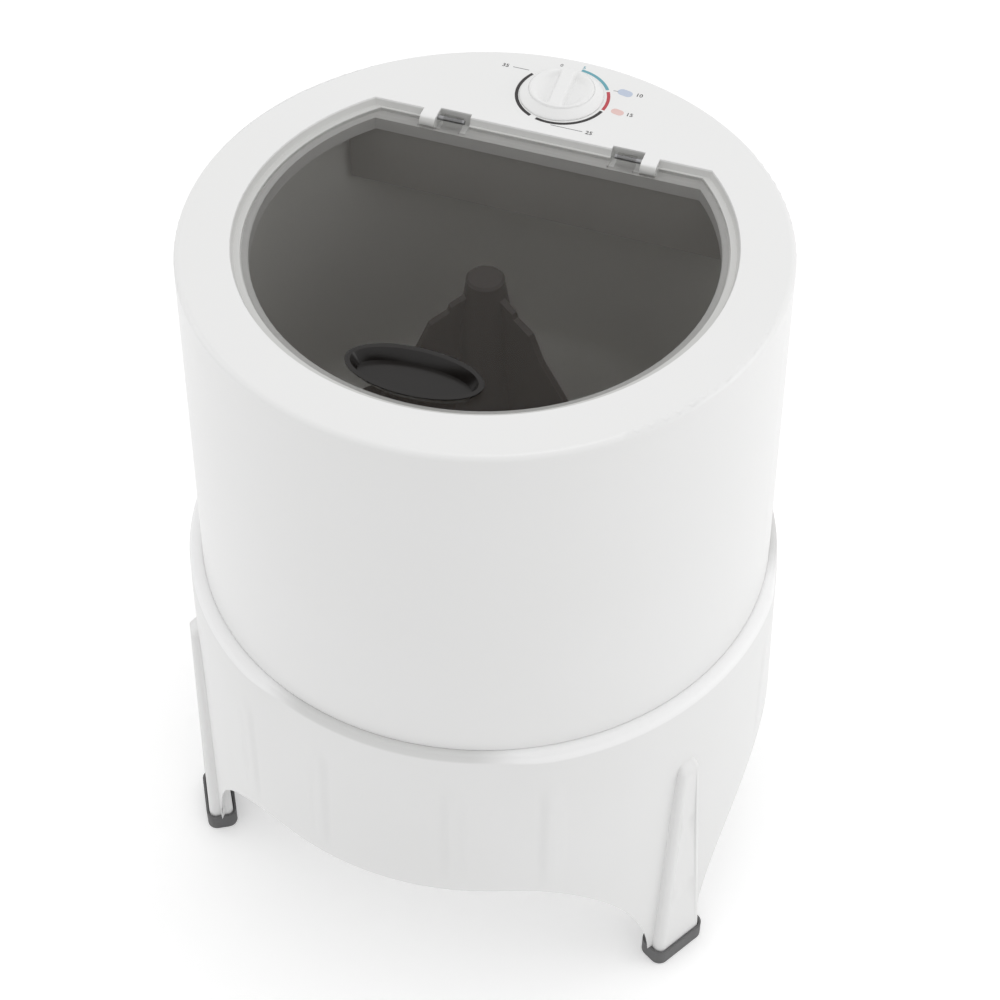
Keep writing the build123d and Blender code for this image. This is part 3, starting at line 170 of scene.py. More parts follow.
def add_flutes(material):
    """Adds soft upright flutes to the relief of the base.

    Each flute is a smooth hump in the angle off the middle of the nearest arch, times one smooth
    step up over FLUTE_RISE and one down over FLUTE_FADE.
    """
    tree = material.node_tree
    part = upright_parts(tree)
    folded = arch_angle(tree, part)
    humps = []
    for middle in FLUTES:
        off = add_node(tree, "ShaderNodeMath", {0: folded, 1: middle}, operation="SUBTRACT")
        away = add_node(tree, "ShaderNodeMath", {0: off.outputs[0]}, operation="ABSOLUTE")
        hump = add_node(tree, "ShaderNodeMapRange",
                        {"Value": away.outputs[0], "From Min": 0.0, "From Max": FLUTE_REACH,
                         "To Min": 1.0, "To Max": 0.0}, interpolation_type="SMOOTHERSTEP")
        humps.append(hump.outputs["Result"])
    both = add_node(tree, "ShaderNodeMath", {0: humps[0], 1: humps[1]}, operation="ADD")
    rise = add_node(tree, "ShaderNodeMapRange",
                    {"Value": part["Z"], "From Min": FLUTE_RISE[0], "From Max": FLUTE_RISE[1],
                     "To Min": 0.0, "To Max": 1.0}, interpolation_type="SMOOTHERSTEP")
    fade = add_node(tree, "ShaderNodeMapRange",
                    {"Value": part["Z"], "From Min": FLUTE_FADE[0], "From Max": FLUTE_FADE[1],
                     "To Min": 1.0, "To Max": 0.0}, interpolation_type="SMOOTHERSTEP")
    ends = add_node(tree, "ShaderNodeMath",
                    {0: rise.outputs["Result"], 1: fade.outputs["Result"]}, operation="MULTIPLY")
    height = add_node(tree, "ShaderNodeMath", {0: both.outputs[0], 1: ends.outputs[0]},
                      operation="MULTIPLY")
    grain = find_node(tree, "BUMP")
    flutes = add_node(tree, "ShaderNodeBump",
                      {"Height": height.outputs[0], "Distance": FLUTE_RELIEF * MM,
                       "Normal": grain.outputs["Normal"]})
    shader = find_node(tree, "BSDF_PRINCIPLED")
    tree.links.new(flutes.outputs["Normal"], shader.inputs["Normal"])


def paint_shade_and_highlight(material, levels, radius, colour, painted_highlight=None, turn=(0.0, HALF_ARCH)):
    """Paints shade into a material's colour inside a radius about the upright axis, in
    metres; colour is the painted shade.

    levels are the heights in metres where the material's own colour ends and where the
    painted shade is full. The painted highlight colour, where there is one, takes over
    from the painted shade as the angle off the middle of the nearest arch crosses the
    degrees in turn.
    """
    tree = material.node_tree
    part = upright_parts(tree)
    level = add_node(tree, "ShaderNodeMapRange",
                     {"Value": part["Z"], "From Min": levels[0], "From Max": levels[1],
                      "To Min": 0.0, "To Max": 1.0}, interpolation_type="SMOOTHSTEP")
    inside = add_node(tree, "ShaderNodeMath", {0: axis_distance(tree, part), 1: radius},
                      operation="LESS_THAN")
    share = add_node(tree, "ShaderNodeMath", {0: level.outputs["Result"], 1: inside.outputs[0]},
                     operation="MULTIPLY")
    painted_mix = add_node(tree, "ShaderNodeMix", {"Factor": share.outputs[0]}, data_type="RGBA")
    shader = find_node(tree, "BSDF_PRINCIPLED")
    tree.links.new(shader.inputs["Base Color"].links[0].from_socket, painted_mix.inputs[6])
    painted_mix.inputs[7].default_value = linear(colour)
    if painted_highlight:
        ramp = add_node(tree, "ShaderNodeMapRange",
                        {"Value": arch_angle(tree, part), "From Min": turn[0],
                         "From Max": turn[1], "To Min": 0.0, "To Max": 1.0},
                        interpolation_type="SMOOTHSTEP")
        shift = add_node(tree, "ShaderNodeMix", {"Factor": ramp.outputs["Result"]},
                         data_type="RGBA")
        shift.inputs[6].default_value = linear(colour)
        shift.inputs[7].default_value = linear(painted_highlight)
        tree.links.new(shift.outputs[2], painted_mix.inputs[7])
    tree.links.new(painted_mix.outputs[2], shader.inputs["Base Color"])


def clear_the_edge(material, inner, chord, body, edge):
    """Alpha of the lid: body over the opening, and edge on the thin rim outside the radius inner
    or behind the line y = chord, both in metres."""
    tree = material.node_tree
    part = upright_parts(tree)
    over, behind = (
        add_node(tree, "ShaderNodeMapRange", {"Value": value, "From Min": start,
                                              "From Max": start + MM, "To Min": body,
                                              "To Max": edge})
        for value, start in ((axis_distance(tree, part), inner), (part["Y"], chord)))
    least = add_node(tree, "ShaderNodeMath",
                     {0: over.outputs["Result"], 1: behind.outputs["Result"]},
                     operation="MINIMUM")
    tree.links.new(least.outputs[0], find_node(tree, "BSDF_PRINCIPLED").inputs["Alpha"])


def wound_copper(name):
    """Enamelled copper wire wound in level turns: dark gaps between glossy brown strands. A wave
    texture of scale s repeats every 2 pi / (20 s)."""
    material, tree = empty_material(name)
    place = add_node(tree, "ShaderNodeTexCoord").outputs["Object"]
    turns = add_node(tree, "ShaderNodeTexWave",
                     {"Vector": place, "Scale": 2 * pi / (20 * WIRE * MM), "Distortion": 1.5,
                      "Detail": 1.0, "Detail Scale": 0.3},
                     wave_type="BANDS", bands_direction="Z")
    colour = add_node(tree, "ShaderNodeMix", {"Factor": turns.outputs["Fac"]}, data_type="RGBA")
    colour.inputs[6].default_value = linear("#3A1C0E")
    colour.inputs[7].default_value = linear("#B0622F")
    bump = add_node(tree, "ShaderNodeBump", {"Height": turns.outputs["Fac"],
                                             "Distance": 0.3 * MM})
    shader = add_node(tree, "ShaderNodeBsdfPrincipled",
                      {"Base Color": colour.outputs[2], "Roughness": 0.3, "Metallic": 0.85,
                       "Normal": bump.outputs["Normal"]})
    add_node(tree, "ShaderNodeOutputMaterial", {"Surface": shader.outputs["BSDF"]})
    return material


# Polished mould, so the white body has a soft gloss with a faint orange peel. Shade is painted
# into the sunk edge round the opening, which makes it greyer
white_abs = surface("white_abs_polished_mould", ("#ECECEC", "#E9E9E8"), 160, (0.28, 0.36), 3.0,
                    0.004, IOR=1.53)
paint_shade_and_highlight(white_abs, levels=(0.6876, 0.6860), radius=0.1965, colour="#CDCDCB")
# The base comes from a finer blasted mould and is a little duller, with soft flutes on each side
# of an arch. Its ledge has painted shade above each arch, which makes it greyer, and a painted
# highlight beside the legs, which makes it lighter
base_abs = surface("white_abs_satin_mould", ("#EBEBEB", "#E8E8E7"), 140, (0.36, 0.46), 1.6, 0.006,
                   IOR=1.53)
add_flutes(base_abs)
paint_shade_and_highlight(base_abs, levels=(0.3520, 0.3550), radius=0.27, colour="#D9D9D8", painted_highlight="#F6F6F6",
          turn=(16.0, 27.0))
# Wash tub in natural polypropylene, waxy and slightly grey, with upright flow marks
tub_polypropylene = surface("grey_white_polypropylene_moulded", ("#E2E2DE", "#D9D9D5"), 90,
                            (0.42, 0.55), 5.0, 0.01, stretch=(1, 1, 0.2), IOR=1.49)
# Smoked polystyrene lid, see-through and glossy: each face holds back part of the light, and the
# thin rim holds back less
smoked_polystyrene = surface("smoked_polystyrene_clear_moulded", ("#38312A", "#332C25"), 200,
                             (0.05, 0.09), 30.0, 0.02, IOR=1.59)
clear_the_edge(smoked_polystyrene, inner=0.1818, chord=0.1185, body=0.20, edge=0.14)
# Finger dish in the same plastic with a full dose of dye, so it hides what lies behind it
dark_polystyrene = surface("dark_polystyrene_polished_mould", ("#15110F", "#110E0C"), 40,
                           (0.16, 0.22), 12.0, 0.01, IOR=1.42)
# Agitator and drain fittings in dark dyed polypropylene, satin with a very fine grain
grey_polypropylene = surface("dark_grey_polypropylene_moulded", ("#332D2C", "#2E2927"), 60,
                             (0.48, 0.52), 0.8, 0.0004, IOR=1.45)
# Cover below the timer in mid grey recycled polypropylene, dull
cover_polypropylene = surface("mid_grey_polypropylene_moulded", ("#A09F9B", "#989793"), 70,
                              (0.52, 0.58), 1.0, 0.001, IOR=1.49)
# Timer case, fan, capacitor and gland in black polyamide, matt from the mould
black_polyamide = surface("black_polyamide_moulded", ("#1C1C1D", "#232324"), 30, (0.45, 0.6), 0.7,
                          0.01, IOR=1.53)
# Foot caps in soft dark grey PVC rubber with a dull, slightly dusty skin
foot_rubber = surface("dark_grey_rubber_moulded", ("#666666", "#5C5C5D"), 25, (0.55, 0.7), 0.6,
                      0.02, IOR=1.52)
# Seals, grommets and belt in black nitrile rubber
black_rubber = surface("black_nitrile_rubber", ("#161616", "#1F1F1F"), 20, (0.5, 0.68), 0.5, 0.02,
                       IOR=1.52)
# Turned and ground steel of shafts, pins and rotor, with fine lathe lines round the upright axis
ground_steel = surface("turned_steel", ("#9C9C9D", "#8E8F91"), 25, (0.25, 0.4), 0.4, 0.004,
                       metallic=1.0, stretch=(0.1, 0.1, 1))
# Zinc-plated pressed steel and screws, pale with a bluish cloud in the plating
zinc_steel = surface("zinc_plated_steel", ("#B9BCC0", "#A4A8AE"), 12, (0.28, 0.42), 0.6, 0.005,
                     metallic=1.0)
# Die-cast aluminium with the grey skin and grain of the die
cast_aluminium = surface("die_cast_aluminium", ("#A9ABAD", "#96989B"), 18, (0.42, 0.6), 0.8, 0.03,
                         metallic=1.0)
# Oil-soaked sintered bronze bushes, dull and pitted
sintered_bronze = surface("sintered_bronze", ("#A07845", "#8A6638"), 6, (0.45, 0.6), 0.3, 0.02,
                          metallic=1.0)
copper = wound_copper("enamelled_copper_wire_wound")
# Pad-printed inks, thin and satin, all with the same patch, roughness, grain and relief
INK = (8, (0.4, 0.5), 0.5, 0.001)
ink_black = surface("pad_print_ink_black", ("#1D191A", "#231F20"), *INK)
ink_teal = surface("pad_print_ink_teal", ("#5E9FAE", "#69A6B2"), *INK)
ink_red = surface("pad_print_ink_red", ("#BE3F49", "#B53A45"), *INK)
ink_grey = surface("pad_print_ink_grey", ("#6C6C6E", "#747476"), *INK)
ink_blue = surface("pad_print_ink_pale_blue", ("#B9C4D6", "#BFC9DA"), *INK)
ink_pink = surface("pad_print_ink_pale_red", ("#E0BEB9", "#E4C5C0"), *INK)

finishes = {
    "white_plastic": white_abs, "base_plastic": base_abs, "tub_plastic": tub_polypropylene,
    "smoked_plastic": smoked_polystyrene, "dark_plastic": dark_polystyrene,
    "grey_plastic": grey_polypropylene, "black_plastic": black_polyamide,
    "dark_rubber": foot_rubber, "black_rubber": black_rubber, "steel": ground_steel,
    "zinc_steel": zinc_steel, "cast_aluminium": cast_aluminium,
    "sintered_bronze": sintered_bronze, "copper_wire": copper,
}

for subpart in frame["record"]["subparts"]:
    for holder in frame["nodes"][subpart["node"]].material_slots:
        holder.link = "OBJECT"
        holder.material = finishes[subpart["material_slot"]]
frame["nodes"]["timer_chamber_cover"].material_slots[0].material = cover_polypropylene


# Pieces

def seat(name, mesh, body):
    """Object of a mesh that rides on a body and has a material slot."""
    piece = bpy.data.objects.new(name, mesh)
    bpy.context.scene.collection.objects.link(piece)
    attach(piece, body)
    return piece


def mesh_piece(name, points, faces, material, body="cabinet"):
    """Piece from points in millimetres and faces, set on a body."""
    mesh = bpy.data.meshes.new(name)
    mesh.from_pydata((np.asarray(points) * MM).tolist(), [], faces)
    mesh.update()
    mesh.materials.append(material)
    return seat(name, mesh, body)


def smooth(value, low, high):
    """0 below low, 1 above high, and the cubic 3t^2 - 2t^3 between them."""
    t = np.clip((value - low) / (high - low), 0, 1)
    return t * t * (3 - 2 * t)


def merged_points(node, name):
    """Copy of a node's mesh, with points less than 2 micrometres apart merged, and its points in
    millimetres."""
    draft = bmesh.new()
    draft.from_mesh(frame["nodes"][node].data)
    bmesh.ops.remove_doubles(draft, verts=draft.verts, dist=2e-6)
    mesh = bpy.data.meshes.new(name)
    draft.to_mesh(mesh)
    draft.free()
    points = np.empty(len(mesh.vertices) * 3)
    mesh.vertices.foreach_get("co", points)
    return mesh, points.reshape(-1, 3) / MM


def replacing_piece(mesh, points, material, node, body):
    """Puts moved points, in millimetres, into a copied mesh that then stands for its node. Edges
    that turn by more than 32 degrees stay sharp."""
    mesh.vertices.foreach_set("co", (points * MM).ravel())
    mesh.materials.clear()
    mesh.materials.append(material)
    mesh.update()
    mesh.shade_smooth()
    mesh.set_sharp_from_angle(angle=radians(32))
    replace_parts(seat(mesh.name, mesh, body), node)


# Base with softer flutes, a wider ledge beside the legs and lower leg tops than the solid's

# Straight outline of the skirt in millimetres, from the floor up
SKIRT_LEVELS = (0.0, 190.0, 331.0, 352.0, 359.6, 361.0)
SKIRT_RADII = (268.0, 263.0, 257.0, 255.2, 253.4, 251.0)
# Swell: its depth, and the degrees off an arch and the levels over which it rises
SWELL = 3.2
SWELL_TURN = (20, 32)
SWELL_RISE = (190, 331)
# Ribs: their most degrees off an arch, their least level, and how far they stand out at least
RIB_TURN = 40
RIB_LEVEL = 150
RIB_PROUD = 0.05
# Legs: their least degrees off an arch, where their tops start and end, and how much of the height
# above the start stays
LEG_TURN = 50
LEG_TOP = (200, 303)
LEG_TOP_SHARE = 0.81
# Skirt's wall: its lowest and highest level, how far inside the outline its points may lie, and
# how near the swollen outline a point counts as on it
WALL = (20, 345)
WALL_SLACK = 0.3
WALL_NEAR = 0.15
# Ledge: its least radius and level, the level between its rings, and how far each moves out and up
LEDGE_RADIUS = 253
LEDGE_LEVEL = 350
UPPER_RING_LEVEL = 358
LOWER_RING_MOVE = (4.0, 3.0)
UPPER_RING_MOVE = (2.6, -0.2)


def fold_angle(angle):
    """Degrees off the middle of the nearest arch, from 0 there to 60 at a leg."""
    return np.abs((angle + HALF_ARCH) % (2 * HALF_ARCH) - HALF_ARCH)


def skirt_radius(angle, level):
    """Outer radius of the skirt: its straight outline, and a swell that rises smoothly with the
    angle off an arch and with the level."""
    swell = SWELL * smooth(fold_angle(angle), *SWELL_TURN) * smooth(level, *SWELL_RISE)
    return np.interp(level, SKIRT_LEVELS, SKIRT_RADII) + swell


def skirt_normals(angle, level):
    """Outward directions of the skirt from the slopes of its radius with the level and the angle,
    taken 4 mm up and down and 1 degree to each side."""
    rise = (skirt_radius(angle, level + 4) - skirt_radius(angle, level - 4)) / 8
    turning = (skirt_radius(angle + 1, level) - skirt_radius(angle - 1, level)) / np.radians(2)
    turning = turning / skirt_radius(angle, level)
    turn = np.radians(angle)
    normals = np.column_stack([np.sin(turn) - turning * np.cos(turn),
                               -np.cos(turn) - turning * np.sin(turn), -rise])
    return normals / np.linalg.norm(normals, axis=1)[:, None]


def dressed_base():
    """Copy of the base with its points moved.

    Ribs are laid back onto the skirt. The tops of the legs are drawn down towards their start, and
    the skirt gets its swell. The two rings of the ledge move out and up with the same rise in the
    angle, so that a broad flat edge runs past each leg. Corners of faces that lie wholly on the
    skirt take the skirt's own outward directions.
    """
    mesh, points = merged_points("base", "base_dressed")
    x, y, z = points.T
    radius, angle = np.hypot(x, y), np.degrees(np.arctan2(x, -y))
    fold = fold_angle(angle)
    plain = np.interp(z, SKIRT_LEVELS, SKIRT_RADII)
    rib = (fold < RIB_TURN) & (radius > plain + RIB_PROUD) & (z > RIB_LEVEL) & (z < WALL[1])
    radius = np.where(rib, plain, radius)
    outer = radius > plain - WALL_SLACK
    leg = (fold > LEG_TURN) & outer & (z > LEG_TOP[0]) & (z < LEG_TOP[1])
    level = np.where(leg, LEG_TOP[0] + (z - LEG_TOP[0]) * LEG_TOP_SHARE, z)
    wall = outer & (z > WALL[0]) & (z < WALL[1])
    radius = radius + np.where(wall, skirt_radius(angle, level) - plain, 0)
    share = smooth(fold, *SWELL_TURN)
    ring = (radius > LEDGE_RADIUS) & (z > LEDGE_LEVEL)
    upper = ring & (z > UPPER_RING_LEVEL)
    out, up = (np.where(ring, np.where(upper, high, low), 0) * share
               for low, high in zip(LOWER_RING_MOVE, UPPER_RING_MOVE))
    radius, level = radius + out, level + up
    turn = np.radians(angle)
    moved = np.column_stack([radius * np.sin(turn), -radius * np.cos(turn), level])
    replacing_piece(mesh, moved, base_abs, "base", "cabinet")
    corner = np.empty(len(mesh.loops), dtype=np.int32)
    mesh.loops.foreach_get("vertex_index", corner)
    near = np.abs(radius - skirt_radius(angle, level)) < WALL_NEAR
    on_skirt = near & (level < WALL[1])
    whole = np.repeat(on_skirt[corner.reshape(-1, 3)].all(axis=1), 3)
    normals = np.where(whole[:, None], skirt_normals(angle, level)[corner], 0)
    mesh.normals_split_custom_set(normals.tolist())


def short_shaft():
    """Copy of the timer's shaft that ends inside the scooped knob, 5 mm above the panel."""
    mesh, points = merged_points("timer_shaft", "timer_shaft_short")
    points[:, 2] = np.minimum(points[:, 2], PANEL + 5)
    replacing_piece(mesh, points, ground_steel, "timer_shaft", "knob_body")


dressed_base()
short_shaft()


# Knob with a flush bar between two scooped flanks

# Outline in millimetres: flat disc, fine groove, sloping skirt, and the lower edge
KNOB_RADII = (0, 25.9, 26.5, 26.9, 27.2, 27.6, 33.8, 34.5, 34.7)
KNOB_HEIGHTS = (8.0, 8.0, 7.5, 6.1, 6.1, 6.7, 2.0, 1.3, 0.4)
# Scoop: its depth, the distances from the bar's middle line over which it deepens and then fades,
# the share of the depth that fades, and the radii over which it ends
SCOOP_DEPTH = 4.2
SCOOP_EDGE = (5.0, 7.6)
SCOOP_FADE = (8, 25)
SCOOP_FADE_SHARE = 0.75
SCOOP_END = (18.5, 25.6)
# Bar: how far it stands out of the disc, and the distances and radii over which it ends
BAR_RISE = 0.5
BAR_EDGE = (4.4, 5.4)
BAR_END = (23.5, 25.5)
# Turn of the bar off the machine's own axis, and the number of points round a ring
BAR_SLANT = radians(-3.5)
KNOB_STEPS = 256


def knob_height(radius, across):
    """Height above the panel: the outline above, and a scoop on each side of the bar, whose depth
    rises steeply from the bar's edge and fades towards the rim of the disc."""
    rim = np.interp(radius, KNOB_RADII, KNOB_HEIGHTS)
    fade = 1 - SCOOP_FADE_SHARE * smooth(across, *SCOOP_FADE)
    scoop = SCOOP_DEPTH * smooth(across, *SCOOP_EDGE) * fade * (1 - smooth(radius, *SCOOP_END))
    rise = BAR_RISE * (1 - smooth(across, *BAR_EDGE)) * (1 - smooth(radius, *BAR_END))
    return rim - scoop + rise


def knob():
    """Closed knob: rings of the height above on a polar grid, and a flat underside."""
    rings = np.concatenate([np.linspace(0.5, 25.5, 51), [25.9, 26.2, 26.5, 26.9, 27.2, 27.6],
                            np.linspace(28.4, 33.8, 8), [34.2, 34.5, 34.7]])
    turn = np.arange(KNOB_STEPS) * 2 * pi / KNOB_STEPS
    radius = np.repeat(rings, KNOB_STEPS)
    angle = np.tile(turn, len(rings))
    x, y = radius * np.sin(angle), radius * np.cos(angle)
    across = np.abs(x * cos(BAR_SLANT) - y * sin(BAR_SLANT))
    top = np.column_stack([x + KNOB[0], y + KNOB[1], PANEL + knob_height(radius, across)])
    poles = np.array([[*KNOB, PANEL + knob_height(0.0, 0.0)], [*KNOB, PANEL + KNOB_HEIGHTS[-1]]])
    ring, step = np.meshgrid(np.arange(len(rings) - 1), np.arange(KNOB_STEPS), indexing="ij")
    here, out, after = ring * KNOB_STEPS, (ring + 1) * KNOB_STEPS, (step + 1) % KNOB_STEPS
    quads = np.stack([here + after, out + after, out + step, here + step],
                     axis=-1).reshape(-1, 4)
    first = np.arange(KNOB_STEPS)
    last = first + (len(rings) - 1) * KNOB_STEPS
    crown = np.column_stack([np.full(KNOB_STEPS, len(top)), np.roll(first, -1), first])
    under = np.column_stack([np.full(KNOB_STEPS, len(top) + 1), last, np.roll(last, -1)])
    faces = quads.tolist() + crown.tolist() + under.tolist()
    piece = mesh_piece("timer_knob_scooped", np.concatenate([top, poles]), faces, white_abs,
                       "knob_body")
    piece.data.shade_smooth()
    piece.data.set_sharp_from_angle(angle=radians(40))
    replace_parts(piece, "timer_knob")


# Printed dial, in millimetres

# Films of ink: gap to the panel, thickness of lines, thickness of labels
FILM_LIFT = 0.01
FILM = 0.08
LABEL_FILM = 0.06
# Least square of a label's half width, so that the ends of its film stay open
LABEL_END = 0.0004
# Ring round the knob
ARC_RADIUS = 37.8
ARC_WIDTH = 2.8
# Figures: height as a share of the font's size, half the thickness, growth of the outline, and the
# level of the middle above the panel
FIGURE_SHARE = 0.7
FIGURE_DEPTH = 0.03
FIGURE_SWELL = 0.06
FIGURE_LIFT = 0.05


def film(name, left, right, thickness, material):
    """Closed thin film between two lines on the panel.

    left and right are equal rows of points (x, y). The top is the ruled surface between them at the
    panel height plus the thickness, the underside is the same at the panel height, and a band of
    quads closes the rim.
    """
    count = len(left)
    flat = np.concatenate([left, right])
    low = np.column_stack([flat, np.full(2 * count, PANEL + FILM_LIFT)])
    points = np.concatenate([low, low + (0, 0, thickness)])
    step = np.arange(count - 1)
    top = np.column_stack([step, step + 1, step + 1 + count, step + count]) + 2 * count
    bottom = np.column_stack([step + count, step + 1 + count, step + 1, step])
    rim = np.concatenate([np.arange(count), np.arange(2 * count - 1, count - 1, -1)])
    after = np.roll(rim, -1)
    wall = np.column_stack([rim, rim + 2 * count, after + 2 * count, after])
    faces = np.concatenate([top, bottom, wall])
    mesh_piece(name, points, faces.tolist(), material)


def dial_arc(name, start, stop, material):
    """Sector of a ring round the knob: its two edges are circles of the arc's radius plus and minus
    half its width, from start to stop in degrees clockwise from the rear."""
    turn = np.radians(np.linspace(start, stop, stop - start))
    ring = np.column_stack([np.sin(turn), np.cos(turn)])
    inner = ring * (ARC_RADIUS - ARC_WIDTH / 2) + DIAL
    outer = ring * (ARC_RADIUS + ARC_WIDTH / 2) + DIAL
    film(name, inner, outer, FILM, material)


def bar(name, start, stop, width, material):
    """Straight printed line: two edges half the width to each side of the line from start to
    stop."""
    start, stop = np.array(start, float), np.array(stop, float)
    along = (stop - start) / np.linalg.norm(stop - start)
    side = np.array([-along[1], along[0]]) * width / 2
    row = start + np.linspace(0, 1, 5)[:, None] * (stop - start)
    film(name, row + side, row - side, FILM, material)


def pill(name, centre, length, width, turn, material):
    """Printed label with round ends: at a distance s along its middle line the half width is that
    of a rectangle, and of a circle within half a width of each end."""
    s = np.sin(np.linspace(-pi / 2, pi / 2, 25)) * length / 2
    over = np.clip(np.abs(s) - (length - width) / 2, 0, width / 2)
    half = np.sqrt(np.maximum((width / 2) ** 2 - over ** 2, LABEL_END))
    along = np.array([cos(radians(turn)), sin(radians(turn))])
    side = np.array([-along[1], along[0]])
    row = np.array(centre) + s[:, None] * along
    film(name, row + half[:, None] * side, row - half[:, None] * side, LABEL_FILM, material)


def number(name, text, centre, height, material):
    """Plain number printed flat on the panel, readable from the front, its middle at the centre."""
    font = bpy.data.curves.new(name, "FONT")
    font.body = text
    font.size = height * MM / FIGURE_SHARE
    font.extrude = FIGURE_DEPTH * MM
    font.offset = FIGURE_SWELL * MM
    font.align_x, font.align_y = "CENTER", "CENTER"
    font.resolution_u = 6
    draft = bpy.data.objects.new(name + "_draft", font)
    bpy.context.scene.collection.objects.link(draft)
    bpy.context.view_layer.update()
    shaped = draft.evaluated_get(bpy.context.evaluated_depsgraph_get())
    mesh = bpy.data.meshes.new_from_object(shaped)
    bpy.data.objects.remove(draft)
    mesh.transform(Matrix.Translation(Vector((*centre, PANEL + FIGURE_LIFT)) * MM))
    mesh.materials.clear()
    mesh.materials.append(material)
    seat(name, mesh, "cabinet")


knob()
for name, start, stop, ink in (("teal_arc", 7, 60, ink_teal), ("red_arc", 64, 102, ink_red),
                               ("black_arc_front", 105, 197, ink_black),
                               ("black_arc_left", 206, 301, ink_black)):
    dial_arc("dial_print_" + name, start, stop, ink)
pill("dial_print_blue_label", (48.5, 206), 13, 8, -12, ink_blue)
pill("dial_print_pink_label", (50, 179.6), 11, 7, -12, ink_pink)
bar("dial_print_front_line", (4, 145.5), (31, 145.5), 0.6, ink_grey)
bar("dial_print_left_line", (-50, 209.2), (-36, 209.2), 0.6, ink_grey)
bar("dial_print_right_line", (38.5, 206), (42.5, 206), 0.5, ink_grey)
for text, centre, height, ink in (("0", (-12.4, 224.5), 3.6, ink_grey),
                                  ("5", (6.5, 227.5), 3.6, ink_teal),
                                  ("10", (60.5, 206.5), 4.2, ink_black),
                                  ("15", (60.5, 179), 4.2, ink_black),
                                  ("25", (36.5, 145.5), 4.2, ink_black),
                                  ("35", (-56.5, 209.2), 4.2, ink_black)):
    number("dial_print_number_" + text, text, centre, height, ink)


# Camera, fitted to the photograph's perspective. Its place is in millimetres, its angles are in
# radians, and TURN is how far the machine is turned about its axis

POSITION = (431.35, -1200.99, 1774.4)
PITCH, YAW, ROLL, TURN = radians(47.375), 0.0095066, -0.0041051, 0.344815


def camera_axes():
    """Right, up and back directions of the camera: pitch below the horizon, yaw, roll, then the
    turn of the machine about its axis."""
    forward = Vector((sin(YAW) * cos(PITCH), cos(YAW) * cos(PITCH), -sin(PITCH)))
    right = Vector((cos(YAW), -sin(YAW), 0))
    down = forward.cross(right)
    rolled = right * cos(ROLL) + down * sin(ROLL)
    lower = forward.cross(rolled)
    spin = Matrix.Rotation(TURN, 3, "Z")
    return spin @ rolled, spin @ -lower, spin @ -forward


lens = bpy.data.cameras.new("camera")
lens.lens = 78.216
lens.sensor_width = 36.0
lens.clip_start, lens.clip_end = 0.05, 50.0
camera = bpy.data.objects.new("camera", lens)
bpy.context.scene.collection.objects.link(camera)
pose = Matrix(camera_axes()).transposed().to_4x4()
pose.translation = Vector(POSITION) * MM
camera.matrix_world = pose
bpy.context.scene.camera = camera


# Floor, light and background

# Light that the floor gives off by itself, where the camera or a reflection sees it
FLOOR_LIFT = 0.25
# Strength of the white background: as light on things, and as the camera and reflections see it
SKY_LIGHT, SKY_SHOWN = 0.84, 1.0
# Half the width of the floor, and the point that the lights face, in metres
FLOOR_HALF = 6
MIDDLE = (0, 0, 0.4)


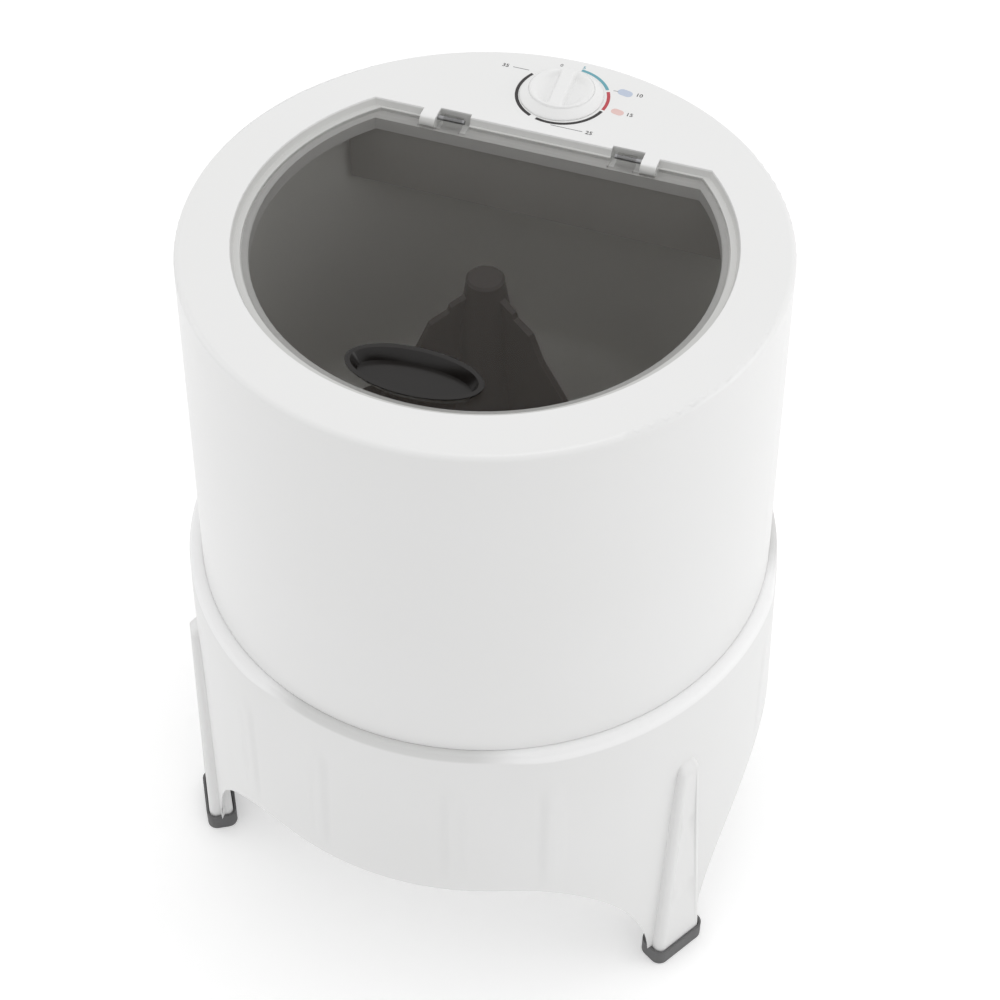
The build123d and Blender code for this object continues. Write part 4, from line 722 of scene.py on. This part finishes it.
def floor_material():
    """White paper: it takes the soft shadows, and a little light of its own for the camera and for
    reflections makes it as white as the background."""
    material, tree = empty_material("white_paper_sweep")
    rays = add_node(tree, "ShaderNodeLightPath").outputs
    seen = add_node(tree, "ShaderNodeMath", {0: rays["Is Camera Ray"], 1: rays["Is Glossy Ray"]},
                    operation="MAXIMUM")
    share = add_node(tree, "ShaderNodeMath", {0: seen.outputs[0], 1: FLOOR_LIFT},
                     operation="MULTIPLY")
    paper = add_node(tree, "ShaderNodeBsdfDiffuse", {"Color": linear("#F4F4F4")})
    lift = add_node(tree, "ShaderNodeEmission", {"Color": linear("#FFFFFF"),
                                                 "Strength": share.outputs[0]})
    both = add_node(tree, "ShaderNodeAddShader", {0: paper.outputs[0], 1: lift.outputs[0]})
    add_node(tree, "ShaderNodeOutputMaterial", {"Surface": both.outputs[0]})
    return material


mesh = bpy.data.meshes.new("floor")
mesh.from_pydata([(-FLOOR_HALF, -FLOOR_HALF, 0), (FLOOR_HALF, -FLOOR_HALF, 0),
                  (FLOOR_HALF, FLOOR_HALF, 0), (-FLOOR_HALF, FLOOR_HALF, 0)], [], [(0, 1, 2, 3)])
mesh.materials.append(floor_material())
floor = bpy.data.objects.new("floor", mesh)
bpy.context.scene.collection.objects.link(floor)

world = bpy.data.worlds.new("studio")
world.use_nodes = True
bpy.context.scene.world = world
sky = world.node_tree
sky.nodes.clear()
rays = add_node(sky, "ShaderNodeLightPath").outputs
direct = add_node(sky, "ShaderNodeMath", {0: rays["Is Camera Ray"], 1: rays["Is Glossy Ray"]},
                  operation="MAXIMUM")
shown = add_node(sky, "ShaderNodeMath",
                 {0: direct.outputs[0], 1: rays["Is Transmission Ray"]}, operation="MAXIMUM")
strength = add_node(sky, "ShaderNodeMapRange",
                    {"Value": shown.outputs[0], "To Min": SKY_LIGHT, "To Max": SKY_SHOWN})
backdrop = add_node(sky, "ShaderNodeBackground", {"Color": linear("#FFFFFF"),
                                                  "Strength": strength.outputs["Result"]})
add_node(sky, "ShaderNodeOutputWorld", {"Surface": backdrop.outputs[0]})


def softbox(name, position, size, power):
    """Square studio light that faces the middle of the machine. Places and sizes are in metres."""
    light = bpy.data.lights.new(name, "AREA")
    light.shape = "SQUARE"
    light.size = size
    light.energy = power
    lamp = bpy.data.objects.new(name, light)
    bpy.context.scene.collection.objects.link(lamp)
    lamp.location = position
    lamp.rotation_mode = "QUATERNION"
    aim = Vector(MIDDLE) - Vector(position)
    lamp.rotation_quaternion = aim.to_track_quat("-Z", "Y")


softbox("overhead_softbox", (0.3, 0.4, 3.2), size=1.1, power=8)
softbox("right_softbox", (2.6, 0.6, 1.2), size=1.6, power=10)
softbox("left_softbox", (-2.6, -0.2, 1.2), size=1.6, power=5)

bpy.context.scene.view_settings.view_transform = "Standard"

bpy.context.view_layer.update()
